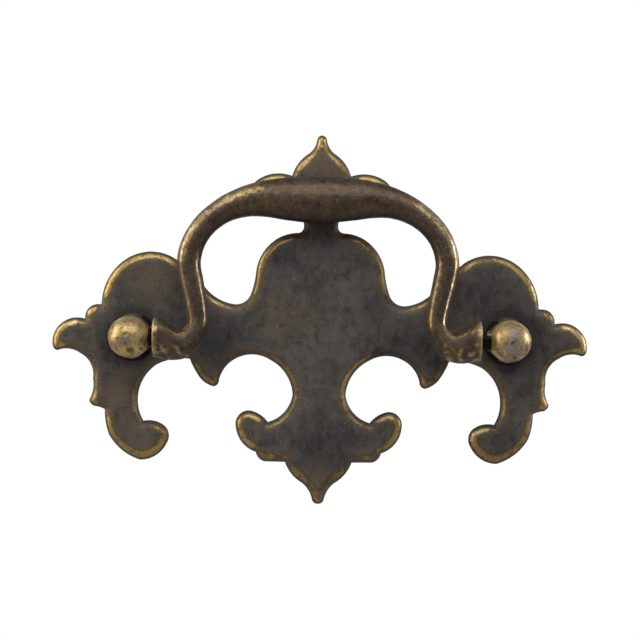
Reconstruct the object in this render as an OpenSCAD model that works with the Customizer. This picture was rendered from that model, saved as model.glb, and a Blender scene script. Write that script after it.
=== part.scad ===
// A cast brass bail pull for a drawer: a scrolled backplate, two ball-headed posts and a swan-neck bail.
// X runs along the drawer front, Y into it and Z up. The back of the plate lies in the plane Y = 0, and
// the origin is midway between the posts. The bail is swung up, and its grip leans back on the plate.

/* [Posts] */
// Distance between the centres of the two posts
post_spacing = 76; // [72:0.5:82]
// Diameter of the ball head
ball_d = 8.4; // [7.6:0.1:9]
// Height of the ball's centre, and of the bail's axis, in front of the plate
axis_out = 7.6; // [7.2:0.1:9]
// Diameter of the collar that stands on the plate
collar_d = 9.8; // [9:0.1:11]
// Thickness of the collar
collar_t = 1; // [0.6:0.1:1.4]
// Rounding of the collar's front edge
collar_round = 0.5; // [0.2:0.1:0.6]
// Diameter of the neck between the collar and the ball
neck_d = 6.4; // [5.6:0.1:7]
// Diameter of the spigot that passes through the plate
spigot_d = 6.6; // [6:0.1:7]
// Diameter of the spigot's riveted end at the back of the plate
rivet_d = 8; // [7.4:0.1:9]
// Depth of the riveted end
rivet_t = 0.8; // [0.5:0.1:1.2]
// Gap all round between the spigot and its hole in the plate
spigot_clear = 0.05; // [0.02:0.01:0.15]
// Core diameter of the threaded hole in the back of each post
thread_d = 3.3; // [2.6:0.1:3.6]
// Depth of the threaded hole, from the back of the plate
thread_depth = 7.4; // [5:0.1:7.6]

/* [Backplate] */
// Width from wing tip to wing tip
plate_w = 108.8; // [104:0.2:116]
// Height from the top of the upper finial to the foot of the lower one
plate_h = 75; // [72:0.5:80]
// Thickness of the plate
plate_t = 2.6; // [2:0.1:3.4]
// How far the rounding of the front edge reaches in over the face
edge_reach = 0.75; // [0.5:0.05:0.75]
// How deep the rounding of the front edge is
edge_depth = 1.3; // [0.6:0.1:1.8]

/* [Bail] */
// Height of the grip's middle above the bail's axis
bail_rise = 28.2; // [26:0.2:31]
// Thickness of the grip at its middle, in the bail's plane
grip_t = 9.4; // [7:0.1:10.5]
// Depth of the grip at its middle, from front to back
grip_depth = 7; // [5.5:0.1:8]
// Thickness of the arms, in the bail's plane
arm_t = 4.7; // [3.8:0.1:5.4]
// Depth of the arms, from front to back
arm_depth = 4.5; // [3.8:0.1:5.4]
// How far the front of the arms is cut back between their two ridges
arm_dish = 0.5; // [0:0.05:0.7]
// How far out the two ridges stand, as a share of half the arm's thickness
arm_ridge = 0.65; // [0.5:0.05:0.8]
// Diameter of the flared feet at their end faces
foot_d = 7.9; // [6.6:0.1:8.4]
// Rounding of the edge round each end face
foot_round = 0.35; // [0.1:0.05:0.6]
// Gap between each end face and the side of its ball, with the bail midway
foot_gap = 1.05; // [0.7:0.05:1.6]
// Diameter of the pintles
pintle_d = 3.6; // [3:0.1:3.8]
// Length of each pintle beyond its end face
pintle_len = 4.7; // [3.5:0.1:5.2]
// Chamfer round the end of each pintle
pintle_chamfer = 0.3; // [0.1:0.1:0.5]
// Gap all round between a pintle and its bore
pintle_clear = 0.05; // [0.03:0.01:0.1]
// How far to the left the bail lies in its end play
end_play = 0.5; // [0:0.1:0.6]
// Room left between the end of a pintle and the bottom of its bore
bore_spare = 0.5; // [0.3:0.1:1]
// Gap that stays between the leaning grip and the face of the plate
lean_gap = 0.08; // [0.05:0.01:0.2]

/* [Hidden] */
$fn = 64;
// How far a cut starts outside the face that it opens
SLIVER = 0.01;

// Right half of the plate's outline, clockwise from the top, drawn full size. Each point is
// [x, z, rise]: an arc leads from it to the next one, and rises that far outwards from their chord.
LEAF = [[0, 41.4, 0.25], [1, 40.4, -0.4], [3, 37.4, 0.45]];
EAR = [[6, 33.1, 0.75], [12.6, 32.5, 0.75], [14.9, 27.9, 1.1], [10.5, 24.8, 0.1], [6.2, 25.6, -0.9]];
NECK = [[3.5, 22.75, -0.35], [4.7, 21.5, 0.3]];
BELL = [[9, 20.2, 0.85], [13.1, 13.6, -0.15], [14.1, 9, -0.75], [17.6, 6.85, -0.95], [24.3, 11.4, 0.1]];
LOBE = [[28.7, 15.25, 0.55], [34.5, 17.35, 0.8], [41.5, 14.15, 0.75], [44.5, 6.65, 0]];
BUMP = [[44.85, 6.5, 1], [47.8, 3.65, 0]];
WING = [[48.05, 3.55, 0.7], [52.9, 2.3, 0.6], [54.35, -2.1, 0.2], [53.4, -2.95, -0.6], [48.75, -3.5, -0.95]];
BARB = [[46.1, -8.6, -0.4], [46.8, -13, 0.2], [45.8, -14.2, -0.1]];
SIDE_HOOK = [
    [43.6, -14.85, 0.25], [42.7, -19.95, 0.8], [36.3, -25.05, 0.9], [31.05, -21.8, 0.7], [31.45, -18.1, 0.5]
];
SIDE_ARCH = [[35.75, -17.15, -0.35], [36.95, -12.6, -1], [33.1, -5.6, -0.5]];
CUSP = [[26.4, -4.4, 0.1], [24.8, -7.5, 0.4], [21.6, -9.95, 0.35]];
INNER_ARCH = [[20.45, -8.7, -0.65], [17, -4.2, -0.95], [10, -4.45, -1.1], [5.4, -11.4, -1.15]];
INNER_HOOK = [[10.4, -17.1, 0.4], [14, -14.8, 1.1], [16.9, -18, 1]];
STEP = [[12.75, -23.2, 0.4], [10.9, -25.1, 0]];
DROP = [[6.8, -25.15, 0.5], [3.25, -29.4, -0.3], [1.25, -32.5, 0.35], [0, -33.6, 0]];
STROKES = concat(
    LEAF, EAR, NECK, BELL, LOBE, BUMP, WING, BARB, SIDE_HOOK, SIDE_ARCH, CUSP, INNER_ARCH, INNER_HOOK, STEP, DROP
);
// Longest chord and largest turn of one straight step along an arc of the outline
STEP_LEN = 1.6;
STEP_TURN = 20;
// Steps of the rounding along the plate's front edge
EDGE_STEPS = 4;

// Right half of the bail's centre line, drawn full size, from the middle of the grip to the foot's end
// face: [x, z, share of the grip's swelling, share of the foot's flare, flatness of the section].
BAIL_LINE = [
    [0, 28.2, 1, 0, 0],
    [5.95, 28.4, 0.87, 0, 0],
    [10.9, 28.35, 0.57, 0, 0],
    [15.4, 27.55, 0.3, 0, 0.1],
    [19.4, 25.75, 0.1, 0, 0.2],
    [22.8, 22.9, 0.02, 0, 0.5],
    [25.05, 19.3, 0.01, 0, 0.85],
    [25.9, 15.3, 0.02, 0, 1],
    [25.2, 11, 0, 0, 1],
    [24.32, 7.1, -0.06, 0, 1],
    [23.83, 3.68, -0.125, 0, 1],
    [24.23, 1.38, -0.24, 0.25, 1],
    [25.62, -0.53, -0.04, 0.24, 1],
    [27.11, -1.34, -0.02, 0.38, 1],
    [28.76, -1.26, 0, 0.56, 1],
    [30.77, -0.43, 0, 0.89, 0.7],
    [31.49, -0.12, 0, 1, 0.1],
    [32.4, 0, 0, 1, 0],
];
// Rings to each stretch of the bail's centre line, and sides of a ring
BAIL_STEPS = 3;
BAIL_SIDES = 24;
// Exponent of the round sections, and what full flatness adds to it
ROUND_POWER = 2;
FLAT_POWER = 0.3;

// Where the bail's axis and the ball's centre lie
axis_y = -(plate_t + axis_out);
post_x = post_spacing / 2;
// End faces and pintle ends, either side of the bail's own middle
foot_x = post_x - ball_d / 2 - foot_gap;
pintle_end = foot_x + pintle_len;
// The side bore is blind, and ends clear of the pintle at its furthest
bore_end = post_x - pintle_end - end_play - bore_spare;
bore_r = pintle_d / 2 + pintle_clear;

function half_turn(chord, rise) = rise == 0 ? 0 : 2 * atan(2 * abs(rise) / chord);
// Points along the arc from p to q, without q
function arc(p, q) =
    let (
        a = [p.x, p.y],
        b = [q.x, q.y],
        rise = p[2],
        chord = norm(b - a),
        half = half_turn(chord, rise),
        steps = max(1, ceil(chord / STEP_LEN), ceil(2 * half / STEP_TURN)),
        side = sign(rise),
        out = [a.y - b.y, b.x - a.x] / chord
    )
    rise == 0 ? [a] : let (
        radius = chord / 2 / sin(half),
        centre = (a + b) / 2 + out * side * (abs(rise) - radius)
    )
    [
        for (k = [0:steps - 1])
            let (turn = half * (2 * k / steps - 1))
            centre + radius * (out * side * cos(turn) + (b - a) / chord * sin(turn))
    ];
right_half = [for (k = [0:len(STROKES) - 2]) each arc(STROKES[k], STROKES[k + 1])];
outline = concat(
    right_half,
    [[0, STROKES[len(STROKES) - 1].y]],
    [for (k = [len(right_half) - 1:-1:1]) [-right_half[k].x, right_half[k].y]]
);
corners = len(outline);
// The direction into the plate from the outline's side that follows corner k
function inward(k) =
    let (way = outline[(k + 1) % corners] - outline[(k + corners) % corners])
    [way.y, -way.x] / norm(way);
// A ring of the plate's surface at a height over its back, moved in from the outline along the mitres
function plate_ring(inset, height) = [
    for (k = [0:corners - 1])
        let (
            before = inward(k - 1 + corners),
            after = inward(k),
            p = outline[k] + inset * (before + after) / (1 + before * after)
        )
        [p.x, p.y, height]
];
plate_rings = concat(
    [plate_ring(0, 0)],
    [
        for (k = [0:EDGE_STEPS])
            let (a = 90 * k / EDGE_STEPS)
            plate_ring(edge_reach * (1 - cos(a)), plate_t - edge_depth * (1 - sin(a)))
    ]
);

// A solid through closed rings of points, all with as many points, and flat at both ends
module skin(rings) {
    n = len(rings[0]);
    last = len(rings) - 1;
    polyhedron(
        points = [for (r = rings) each r],
        faces = concat(
            [[for (k = [0:n - 1]) k]],
            [
                for (r = [0:last - 1], k = [0:n - 1])
                    let (next = (k + 1) % n)
                    each [
                        [r * n + k, (r + 1) * n + next, r * n + next],
                        [r * n + k, (r + 1) * n + k, (r + 1) * n + next]
                    ]
            ],
            [[for (k = [n - 1:-1:0]) last * n + k]]
        )
    );
}

// The hole for a post's spigot, countersunk from the back for its riveted end
module spigot_hole() {
    rotate([90, 0, 0]) {
        translate([0, 0, -SLIVER])
            cylinder(h = plate_t + 2 * SLIVER, d = spigot_d + 2 * spigot_clear);
        translate([0, 0, -SLIVER])
            cylinder(h = rivet_t + SLIVER, d1 = rivet_d + 2 * spigot_clear, d2 = spigot_d + 2 * spigot_clear);
    }
}

module backplate() {
    color([0.25, 0.24, 0.22])
        difference() {
            rotate([90, 0, 0])
                resize([plate_w, plate_h, plate_t])
                    skin(plate_rings);
            for (side = [-1, 1])
                translate([side * post_x, 0, 0])
                    spigot_hole();
        }
}

// A post on its own axis, turned about Z from the back of the plate at Z = 0
module post_turned() {
    collar_front = plate_t + collar_t;
    rotate_extrude()
        polygon([
            [0, 0],
            [rivet_d / 2, 0],
            [spigot_d / 2, rivet_t],
            [spigot_d / 2, plate_t],
            [collar_d / 2, plate_t],
            [collar_d / 2, collar_front - collar_round],
            [collar_d / 2 - collar_round, collar_front],
            [neck_d / 2, collar_front],
            [neck_d / 2, plate_t + axis_out],
            [0, plate_t + axis_out],
        ]);
    translate([0, 0, plate_t + axis_out])
        sphere(d = ball_d);
}

// A post whose side bore faces the bail: side is -1 for the left post and 1 for the right one
module post(side) {
    color([0.66, 0.55, 0.32])
        translate([side * post_x, 0, 0])
            difference() {
                rotate([90, 0, 0])
                    post_turned();
                rotate([90, 0, 0])
                    translate([0, 0, -SLIVER])
                        cylinder(h = thread_depth + SLIVER, d = thread_d);
                translate([0, axis_y, 0])
                    rotate([0, -side * 90, 0])
                        translate([0, 0, bore_end])
                            cylinder(h = ball_d, r = bore_r);
            }
}

module post_left() {
    post(-1);
}

module post_right() {
    post(1);
}

// One station of the bail: [x, z, thickness, depth, power of the section, hollow of the front, flare]
function station(s, side) =
    let (
        swell = s[2],
        flare = s[3],
        flat = s[4],
        thick = arm_t + (grip_t - arm_t) * swell + (foot_d - arm_t) * flare,
        deep = arm_depth + (grip_depth - arm_depth) * swell + (foot_d - arm_depth) * flare
    )
    [
        side * s.x * (foot_x - foot_round) / BAIL_LINE[len(BAIL_LINE) - 1].x,
        s.y * bail_rise / BAIL_LINE[0].y,
        thick,
        deep,
        ROUND_POWER + FLAT_POWER * flat,
        arm_dish * flat * deep / arm_depth,
        flare
    ];
bail_line = concat(
    [for (k = [len(BAIL_LINE) - 1:-1:1]) station(BAIL_LINE[k], -1)],
    [for (s = BAIL_LINE) station(s, 1)]
);
last_station = len(bail_line) - 1;
// A smooth curve through the stations, and its direction
function at(k) = bail_line[max(0, min(last_station, k))];
function smooth(a, b, c, d, t) =
    (2 * b + (c - a) * t + (2 * a - 5 * b + 4 * c - d) * t * t + (3 * b - a - 3 * c + d) * t * t * t) / 2;
function slope(a, b, c, d, t) =
    (c - a) / 2 + (2 * a - 5 * b + 4 * c - d) * t + (3 * b - a - 3 * c + d) * 3 * t * t / 2;
// A ring of points round the centre line: s is a station and way the line's direction there. The more
// a foot flares, the squarer to the axis its rings stand.
function ring(s, way) =
    let (
        line = [way[0], way[1]] / norm([way[0], way[1]]),
        turned = line * (1 - s[6]) + [1, 0] * s[6],
        out = [-turned.y, turned.x] / norm(turned)
    )
    [
        for (k = [0:BAIL_SIDES - 1])
            let (
                a = 360 * (k + 0.5) / BAIL_SIDES,
                u = sign(cos(a)) * pow(abs(cos(a)), 2 / s[4]),
                v = sign(sin(a)) * pow(abs(sin(a)), 2 / s[4]),
                dish = v > 0 ? s[5] * max(0, 1 - pow(u / arm_ridge, 2)) : 0
            )
            [s.x + out.x * u * s[2] / 2, dish - v * s[3] / 2, s.y + out.y * u * s[2] / 2]
    ];
// The edge round an end face steps in over its last stretch
function end_ring(side) =
    ring([side * foot_x, 0, foot_d - 2 * foot_round, foot_d - 2 * foot_round, ROUND_POWER, 0, 1], [1, 0]);
bail_rings = concat(
    [end_ring(-1)],
    [ring(at(0), [1, 0])],
    [
        for (k = [0:last_station - 1], step = [1:BAIL_STEPS])
            if (k * BAIL_STEPS + step < last_station * BAIL_STEPS)
                let (t = step / BAIL_STEPS)
                ring(
                    smooth(at(k - 1), at(k), at(k + 1), at(k + 2), t),
                    slope(at(k - 1), at(k), at(k + 1), at(k + 2), t)
                )
    ],
    [ring(at(last_station), [1, 0])],
    [end_ring(1)]
);

module pintle() {
    translate([0, 0, -foot_round])
        cylinder(h = foot_round + pintle_len - pintle_chamfer, d = pintle_d);
    translate([0, 0, pintle_len - pintle_chamfer])
        cylinder(h = pintle_chamfer, d1 = pintle_d, d2 = pintle_d - 2 * pintle_chamfer);
}

// The angle at which the grip, leaning back, comes to lie lean_gap off the plate. Each pass works it
// out again from how far the tilted section reaches back.
function lean(passes) =
    let (
        tilt = passes == 0 ? 0 : lean(passes - 1),
        reach = norm([cos(tilt) * grip_depth, sin(tilt) * grip_t]) / 2
    )
    asin((axis_out - lean_gap - reach) / bail_rise);
LEAN_PASSES = 4;

module bail() {
    color([0.32, 0.27, 0.2])
        translate([-end_play, axis_y, 0])
            rotate([-lean(LEAN_PASSES), 0, 0]) {
                skin(bail_rings);
                for (side = [-1, 1])
                    translate([side * foot_x, 0, 0])
                        rotate([0, side * 90, 0])
                            pintle();
            }
}

backplate();
post_left();
post_right();
bail();
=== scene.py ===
"""Looks of a cast brass bail pull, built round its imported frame.

X runs along the drawer front, Y into it and Z up. Sizes in the classes are millimetres, and a mesh
becomes metres when it is made into an object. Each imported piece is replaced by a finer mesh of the
same form, with its own patina, wear and casting marks.
"""

import logging
import math
from collections.abc import Iterable
from dataclasses import dataclass, field
from enum import Enum

import bmesh
import bpy
import numpy as np
from mathutils import Matrix, Vector, noise
from mathutils.geometry import delaunay_2d_cdt
from mathutils.kdtree import KDTree


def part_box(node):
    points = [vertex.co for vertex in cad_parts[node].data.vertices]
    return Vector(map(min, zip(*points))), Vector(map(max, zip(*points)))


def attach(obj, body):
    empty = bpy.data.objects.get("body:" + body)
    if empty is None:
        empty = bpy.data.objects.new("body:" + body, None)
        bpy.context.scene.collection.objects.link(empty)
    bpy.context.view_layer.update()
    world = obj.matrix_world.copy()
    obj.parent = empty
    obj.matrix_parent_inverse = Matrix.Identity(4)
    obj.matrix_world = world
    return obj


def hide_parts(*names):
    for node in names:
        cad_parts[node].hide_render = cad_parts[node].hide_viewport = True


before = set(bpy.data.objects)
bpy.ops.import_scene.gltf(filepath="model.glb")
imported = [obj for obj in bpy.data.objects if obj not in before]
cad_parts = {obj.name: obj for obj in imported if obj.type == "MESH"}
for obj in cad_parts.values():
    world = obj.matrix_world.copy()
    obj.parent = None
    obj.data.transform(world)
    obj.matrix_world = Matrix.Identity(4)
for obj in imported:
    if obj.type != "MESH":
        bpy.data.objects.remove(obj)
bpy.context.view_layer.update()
LOG = logging.getLogger("bail_pull")

MM = 0.001

# What the meshes carry for the finishes, each from 0 to 1.
WEAR = "wear"  # how far the surface is rubbed bare
TONE = "tone"  # 1 where nothing darkens it, 0 in the darkest dirt and in painted shade
WARMTH = "warmth"  # how warm and thin the patina is: thin and brown where hands keep it so, and painted light on the left of the bail's arms and the right of the balls

Point2 = tuple[float, float]
Point3 = tuple[float, float, float]
Colour = tuple[float, float, float]
Layers = tuple[tuple[float, float, float], ...]
Socket = bpy.types.NodeSocket


class Body(Enum):
    """The bodies that the pieces ride on."""

    PLATE = "plate"
    BAIL = "bail"


class Side(Enum):
    """Left or right of the middle, as the factor of X."""

    LEFT = -1
    RIGHT = 1


# The plate's outline, right half, clockwise from the top. Each point is (x, z, rise): an arc leads
# from it to the next one, and rises that far outwards from their chord.
SCROLLS: dict[str, list[tuple[float, float, float]]] = {
    "leaf": [(0, 41.4, 0.25), (1, 40.4, -0.4), (3, 37.4, 0.45)],
    "ear": [(6, 33.1, 0.75), (12.6, 32.5, 0.75), (14.9, 27.9, 1.1), (10.5, 24.8, 0.1), (6.2, 25.6, -0.9)],
    "neck": [(3.5, 22.75, -0.35), (4.7, 21.5, 0.3)],
    "bell": [(9, 20.2, 0.85), (13.1, 13.6, -0.15), (14.1, 9, -0.75), (17.6, 6.85, -0.95), (24.3, 11.4, 0.1)],
    "lobe": [(28.7, 15.25, 0.55), (34.5, 17.35, 0.8), (41.5, 14.15, 0.75), (44.5, 6.65, 0)],
    "bump": [(44.85, 6.5, 1), (47.8, 3.65, 0)],
    "wing": [
        (48.05, 3.55, 0.7), (52.9, 2.3, 0.6), (54.35, -2.1, 0.2),
        (53.4, -2.95, -0.6), (48.75, -3.5, -0.95),
    ],
    "barb": [(46.1, -8.6, -0.4), (46.8, -13, 0.2), (45.8, -14.2, -0.1)],
    "side hook": [
        (43.6, -14.85, 0.25), (42.7, -19.95, 0.8), (36.3, -25.05, 0.9),
        (31.05, -21.8, 0.7), (31.45, -18.1, 0.5),
    ],
    "side arch": [(35.75, -17.15, -0.35), (36.95, -12.6, -1), (33.1, -5.6, -0.5)],
    "cusp": [(26.4, -4.4, 0.1), (24.8, -7.5, 0.4), (21.6, -9.95, 0.35)],
    "inner arch": [(20.45, -8.7, -0.65), (17, -4.2, -0.95), (10, -4.45, -1.1), (5.4, -11.4, -1.15)],
    "inner hook": [(10.4, -17.1, 0.4), (14, -14.8, 1.1), (16.9, -18, 1)],
    "step": [(12.75, -23.2, 0.4), (10.9, -25.1, 0)],
    "drop": [(6.8, -25.15, 0.5), (3.25, -29.4, -0.3), (1.25, -32.5, 0.35), (0, -33.6, 0)],
}

# The bail's centre line, right half, from the middle of the grip to the foot's end face: (x, z, share
# of the grip's swelling, share of the foot's flare, flatness of the section).
BAIL_LINE: list[tuple[float, float, float, float, float]] = [
    (0, 28.2, 1, 0, 0),
    (5.95, 28.4, 0.87, 0, 0),
    (10.9, 28.35, 0.57, 0, 0),
    (15.4, 27.55, 0.3, 0, 0.1),
    (19.4, 25.75, 0.1, 0, 0.1),
    (22.8, 22.9, 0.02, 0, 0.2),
    (25.05, 19.3, 0.01, 0, 0.5),
    (25.9, 15.3, 0.02, 0, 0.92),
    (25.2, 11, 0, 0, 1),
    (24.32, 7.1, -0.06, 0, 1),
    (23.83, 3.68, -0.125, 0, 1),
    (24.23, 1.38, -0.24, 0.25, 1),
    (25.62, -0.53, -0.04, 0.24, 1),
    (27.11, -1.34, -0.02, 0.38, 1),
    (28.76, -1.26, 0, 0.56, 1),
    (30.77, -0.43, 0, 0.89, 0.7),
    (31.7, -0.08, 0, 0.98, 0.3),
    (32.4, 0, 0, 1, 0),
]


def smoothstep(
    low: np.ndarray | float, high: np.ndarray | float, value: np.ndarray | float
) -> np.ndarray | float:
    """Smooth step from 0 at low to 1 at high.

    Args:
        low: Where the step starts.
        high: Where it ends, below low for a falling step.
        value: The value or values to map.

    Returns:
        The step's value or values, from 0 to 1.
    """
    t = np.clip((value - low) / (high - low), 0.0, 1.0)
    return t * t * (3 - 2 * t)


def hump(value: np.ndarray, centre: float, width: float) -> np.ndarray:
    """Bell curve of height 1 about a centre.

    Args:
        value: The values to map.
        centre: Where the curve is 1.
        width: How far from there it falls to about a third.

    Returns:
        The curve's values.
    """
    return np.exp(-(((value - centre) / width) ** 2))


def mix(low: float, high: float, share: np.ndarray) -> np.ndarray:
    """Values between low, at share 0, and high, at share 1."""
    return low + (high - low) * share


def round_turns(count: int) -> list[float]:
    """Angles of evenly spaced places round a circle, in radians."""
    return [2 * math.pi * k / count for k in range(count)]


def arc_points(centre: Point2, radius: float, turns: Iterable[float]) -> list[Point2]:
    """Points on a circle.

    Args:
        centre: The circle's middle.
        radius: Its radius.
        turns: Where the points stand, in degrees clockwise from the top.

    Returns:
        The points, in the order of the turns.
    """
    angles = [math.radians(turn) for turn in turns]
    return [(centre[0] + radius * math.sin(a), centre[1] + radius * math.cos(a)) for a in angles]


def along_line(
    a: np.ndarray, b: np.ndarray, c: np.ndarray, d: np.ndarray, t: float
) -> tuple[np.ndarray, np.ndarray]:
    """A place on the smooth line through four stations, between the second and the third.

    Args:
        a: The first station.
        b: The second station.
        c: The third station.
        d: The fourth station.
        t: How far the place is from the second station to the third, from 0 to 1.

    Returns:
        The station there, and the line's direction.
    """
    square, cube = 2 * a - 5 * b + 4 * c - d, 3 * b - a - 3 * c + d
    here = (2 * b + (c - a) * t + square * t**2 + cube * t**3) / 2
    return here, (c - a) / 2 + square * t + cube * 3 * t**2 / 2


def unevenness(x: float, y: float, z: float, size: float, offset: float = 0.0) -> float:
    """Smooth noise from about -1 to 1, for lumps and hollows of one size.

    Args:
        x: Place along the drawer front, in millimetres.
        y: Place into the drawer.
        z: Height.
        size: How large the lumps are.
        offset: Moves the pattern, so that two kinds of lump don't coincide.

    Returns:
        The noise there.
    """
    return noise.noise(Vector((x / size + offset, y / size - offset, z / size + 2 * offset)))


def lumpiness(x: float, y: float, z: float, layers: Layers) -> float:
    """Unevenness in several layers.

    Args:
        x: Place along the drawer front, in millimetres.
        y: Place into the drawer.
        z: Height.
        layers: Height, size and offset of each layer's lumps.

    Returns:
        The height of the lumps there, in millimetres.
    """
    return sum(height * unevenness(x, y, z, size, offset) for height, size, offset in layers)


@dataclass
class Skin:
    """One mesh in the making, in millimetres.

    Attributes:
        points: Its points.
        faces: The numbers of each face's points.
    """

    points: list[Point3] = field(default_factory=list)
    faces: list[tuple[int, ...]] = field(default_factory=list)

    def add(self, rows: np.ndarray | list) -> list[int]:
        """Adds points and gives their numbers.

        Args:
            rows: The points, one row each.

        Returns:
            The number of each point in the mesh.
        """
        first = len(self.points)
        self.points.extend(tuple(float(v) for v in row) for row in rows)
        return list(range(first, len(self.points)))

    def bridge(self, ring: list[int], other: list[int]) -> None:
        """Joins two closed rings with four-sided faces.

        Args:
            ring: The numbers of one ring's points.
            other: As many numbers for the ring beside it.
        """
        count = len(ring)
        for k in range(count):
            after = (k + 1) % count
            self.faces.append((ring[k], ring[after], other[after], other[k]))

    def cap(self, ring: list[int], centre: Point3) -> None:
        """Closes a ring with a fan round one point.

        Args:
            ring: The numbers of the ring's points.
            centre: The fan's middle.
        """
        middle = self.add([centre])[0]
        for k, number in enumerate(ring):
            self.faces.append((number, ring[(k + 1) % len(ring)], middle))

    def to_object(self, name: str, sharp_deg: float) -> bpy.types.Object:
        """Makes the mesh an object in metres, with its faces turned outwards.

        Args:
            name: The piece's name.
            sharp_deg: Edges that bend more than this stay sharp.

        Returns:
            The new object, in the scene.
        """
        mesh = bpy.data.meshes.new(name)
        mesh.from_pydata([[v * MM for v in p] for p in self.points], [], self.faces)
        work = bmesh.new()
        work.from_mesh(mesh)
        bmesh.ops.recalc_face_normals(work, faces=work.faces)
        work.to_mesh(mesh)
        work.free()
        mesh.polygons.foreach_set("use_smooth", [True] * len(mesh.polygons))
        mesh.set_sharp_from_angle(angle=math.radians(sharp_deg))
        piece = bpy.data.objects.new(name, mesh)
        bpy.context.scene.collection.objects.link(piece)
        return piece


def put_values(piece: bpy.types.Object, name: str, values: np.ndarray) -> None:
    """Stores one value per mesh point for the finish to read: WEAR, TONE or WARMTH.

    Args:
        piece: The object whose mesh takes the values.
        name: The attribute's name.
        values: As many values as the mesh has points.
    """
    layer = piece.data.attributes.new(name, "FLOAT", "POINT")
    layer.data.foreach_set("value", np.asarray(values, dtype=np.float32))


def mesh_points(piece: bpy.types.Object) -> np.ndarray:
    """The points of a piece's mesh in millimetres, one row each.

    Args:
        piece: The object.

    Returns:
        The points.
    """
    flat = np.empty(len(piece.data.vertices) * 3, dtype=np.float32)
    piece.data.vertices.foreach_get("co", flat)
    return flat.reshape(-1, 3) / MM


class Nodes:
    """A node tree, with short calls for the nodes that the finishes, the room and the floor use."""

    def __init__(self, tree: bpy.types.NodeTree) -> None:
        """Takes up a tree.

        Args:
            tree: The node tree.
        """
        self.tree = tree

    def add(self, kind: str) -> bpy.types.Node:
        """Adds a node of one kind."""
        return self.tree.nodes.new(f"ShaderNode{kind}")

    def feed(self, socket: Socket, value: Socket | float | Colour) -> None:
        """Links or sets one input.

        Args:
            socket: The input.
            value: Another node's output, a number or a colour.
        """
        if isinstance(value, bpy.types.NodeSocket):
            self.tree.links.new(value, socket)
        elif isinstance(value, tuple) and socket.type == "RGBA":
            socket.default_value = (*value, 1.0)
        else:
            socket.default_value = value

    def step(
        self, value: Socket, low: float, high: float, start: float = 0.0, end: float = 1.0, soft: bool = True
    ) -> Socket:
        """Step of a value between two levels.

        Args:
            value: The value.
            low: Where the step starts.
            high: Where it ends.
            start: The result at and before low.
            end: The result at and after high.
            soft: Whether the step eases in and out, or is straight.

        Returns:
            The stepped value.
        """
        node = self.add("MapRange")
        node.interpolation_type = "SMOOTHSTEP" if soft else "LINEAR"
        for name, number in zip(("From Min", "From Max", "To Min", "To Max"), (low, high, start, end)):
            self.feed(node.inputs[name], number)
        self.feed(node.inputs["Value"], value)
        return node.outputs["Result"]

    def product(self, *factors: Socket | float) -> Socket:
        """Product of two or more values.

        Args:
            factors: The values.

        Returns:
            The product.
        """
        total = factors[0]
        for factor in factors[1:]:
            node = self.add("Math")
            node.operation = "MULTIPLY"
            self.feed(node.inputs[0], total)
            self.feed(node.inputs[1], factor)
            total = node.outputs[0]
        return total

    def pick(self, switch: Socket, off: Socket | float, on: Socket | float) -> Socket:
        """Picks one of two values.

        Args:
            switch: 0 or 1.
            off: The value at 0.
            on: The value at 1.

        Returns:
            The picked value.
        """
        node = self.add("Mix")
        self.feed(node.inputs[0], switch)
        self.feed(node.inputs[2], off)
        self.feed(node.inputs[3], on)
        return node.outputs[0]


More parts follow.
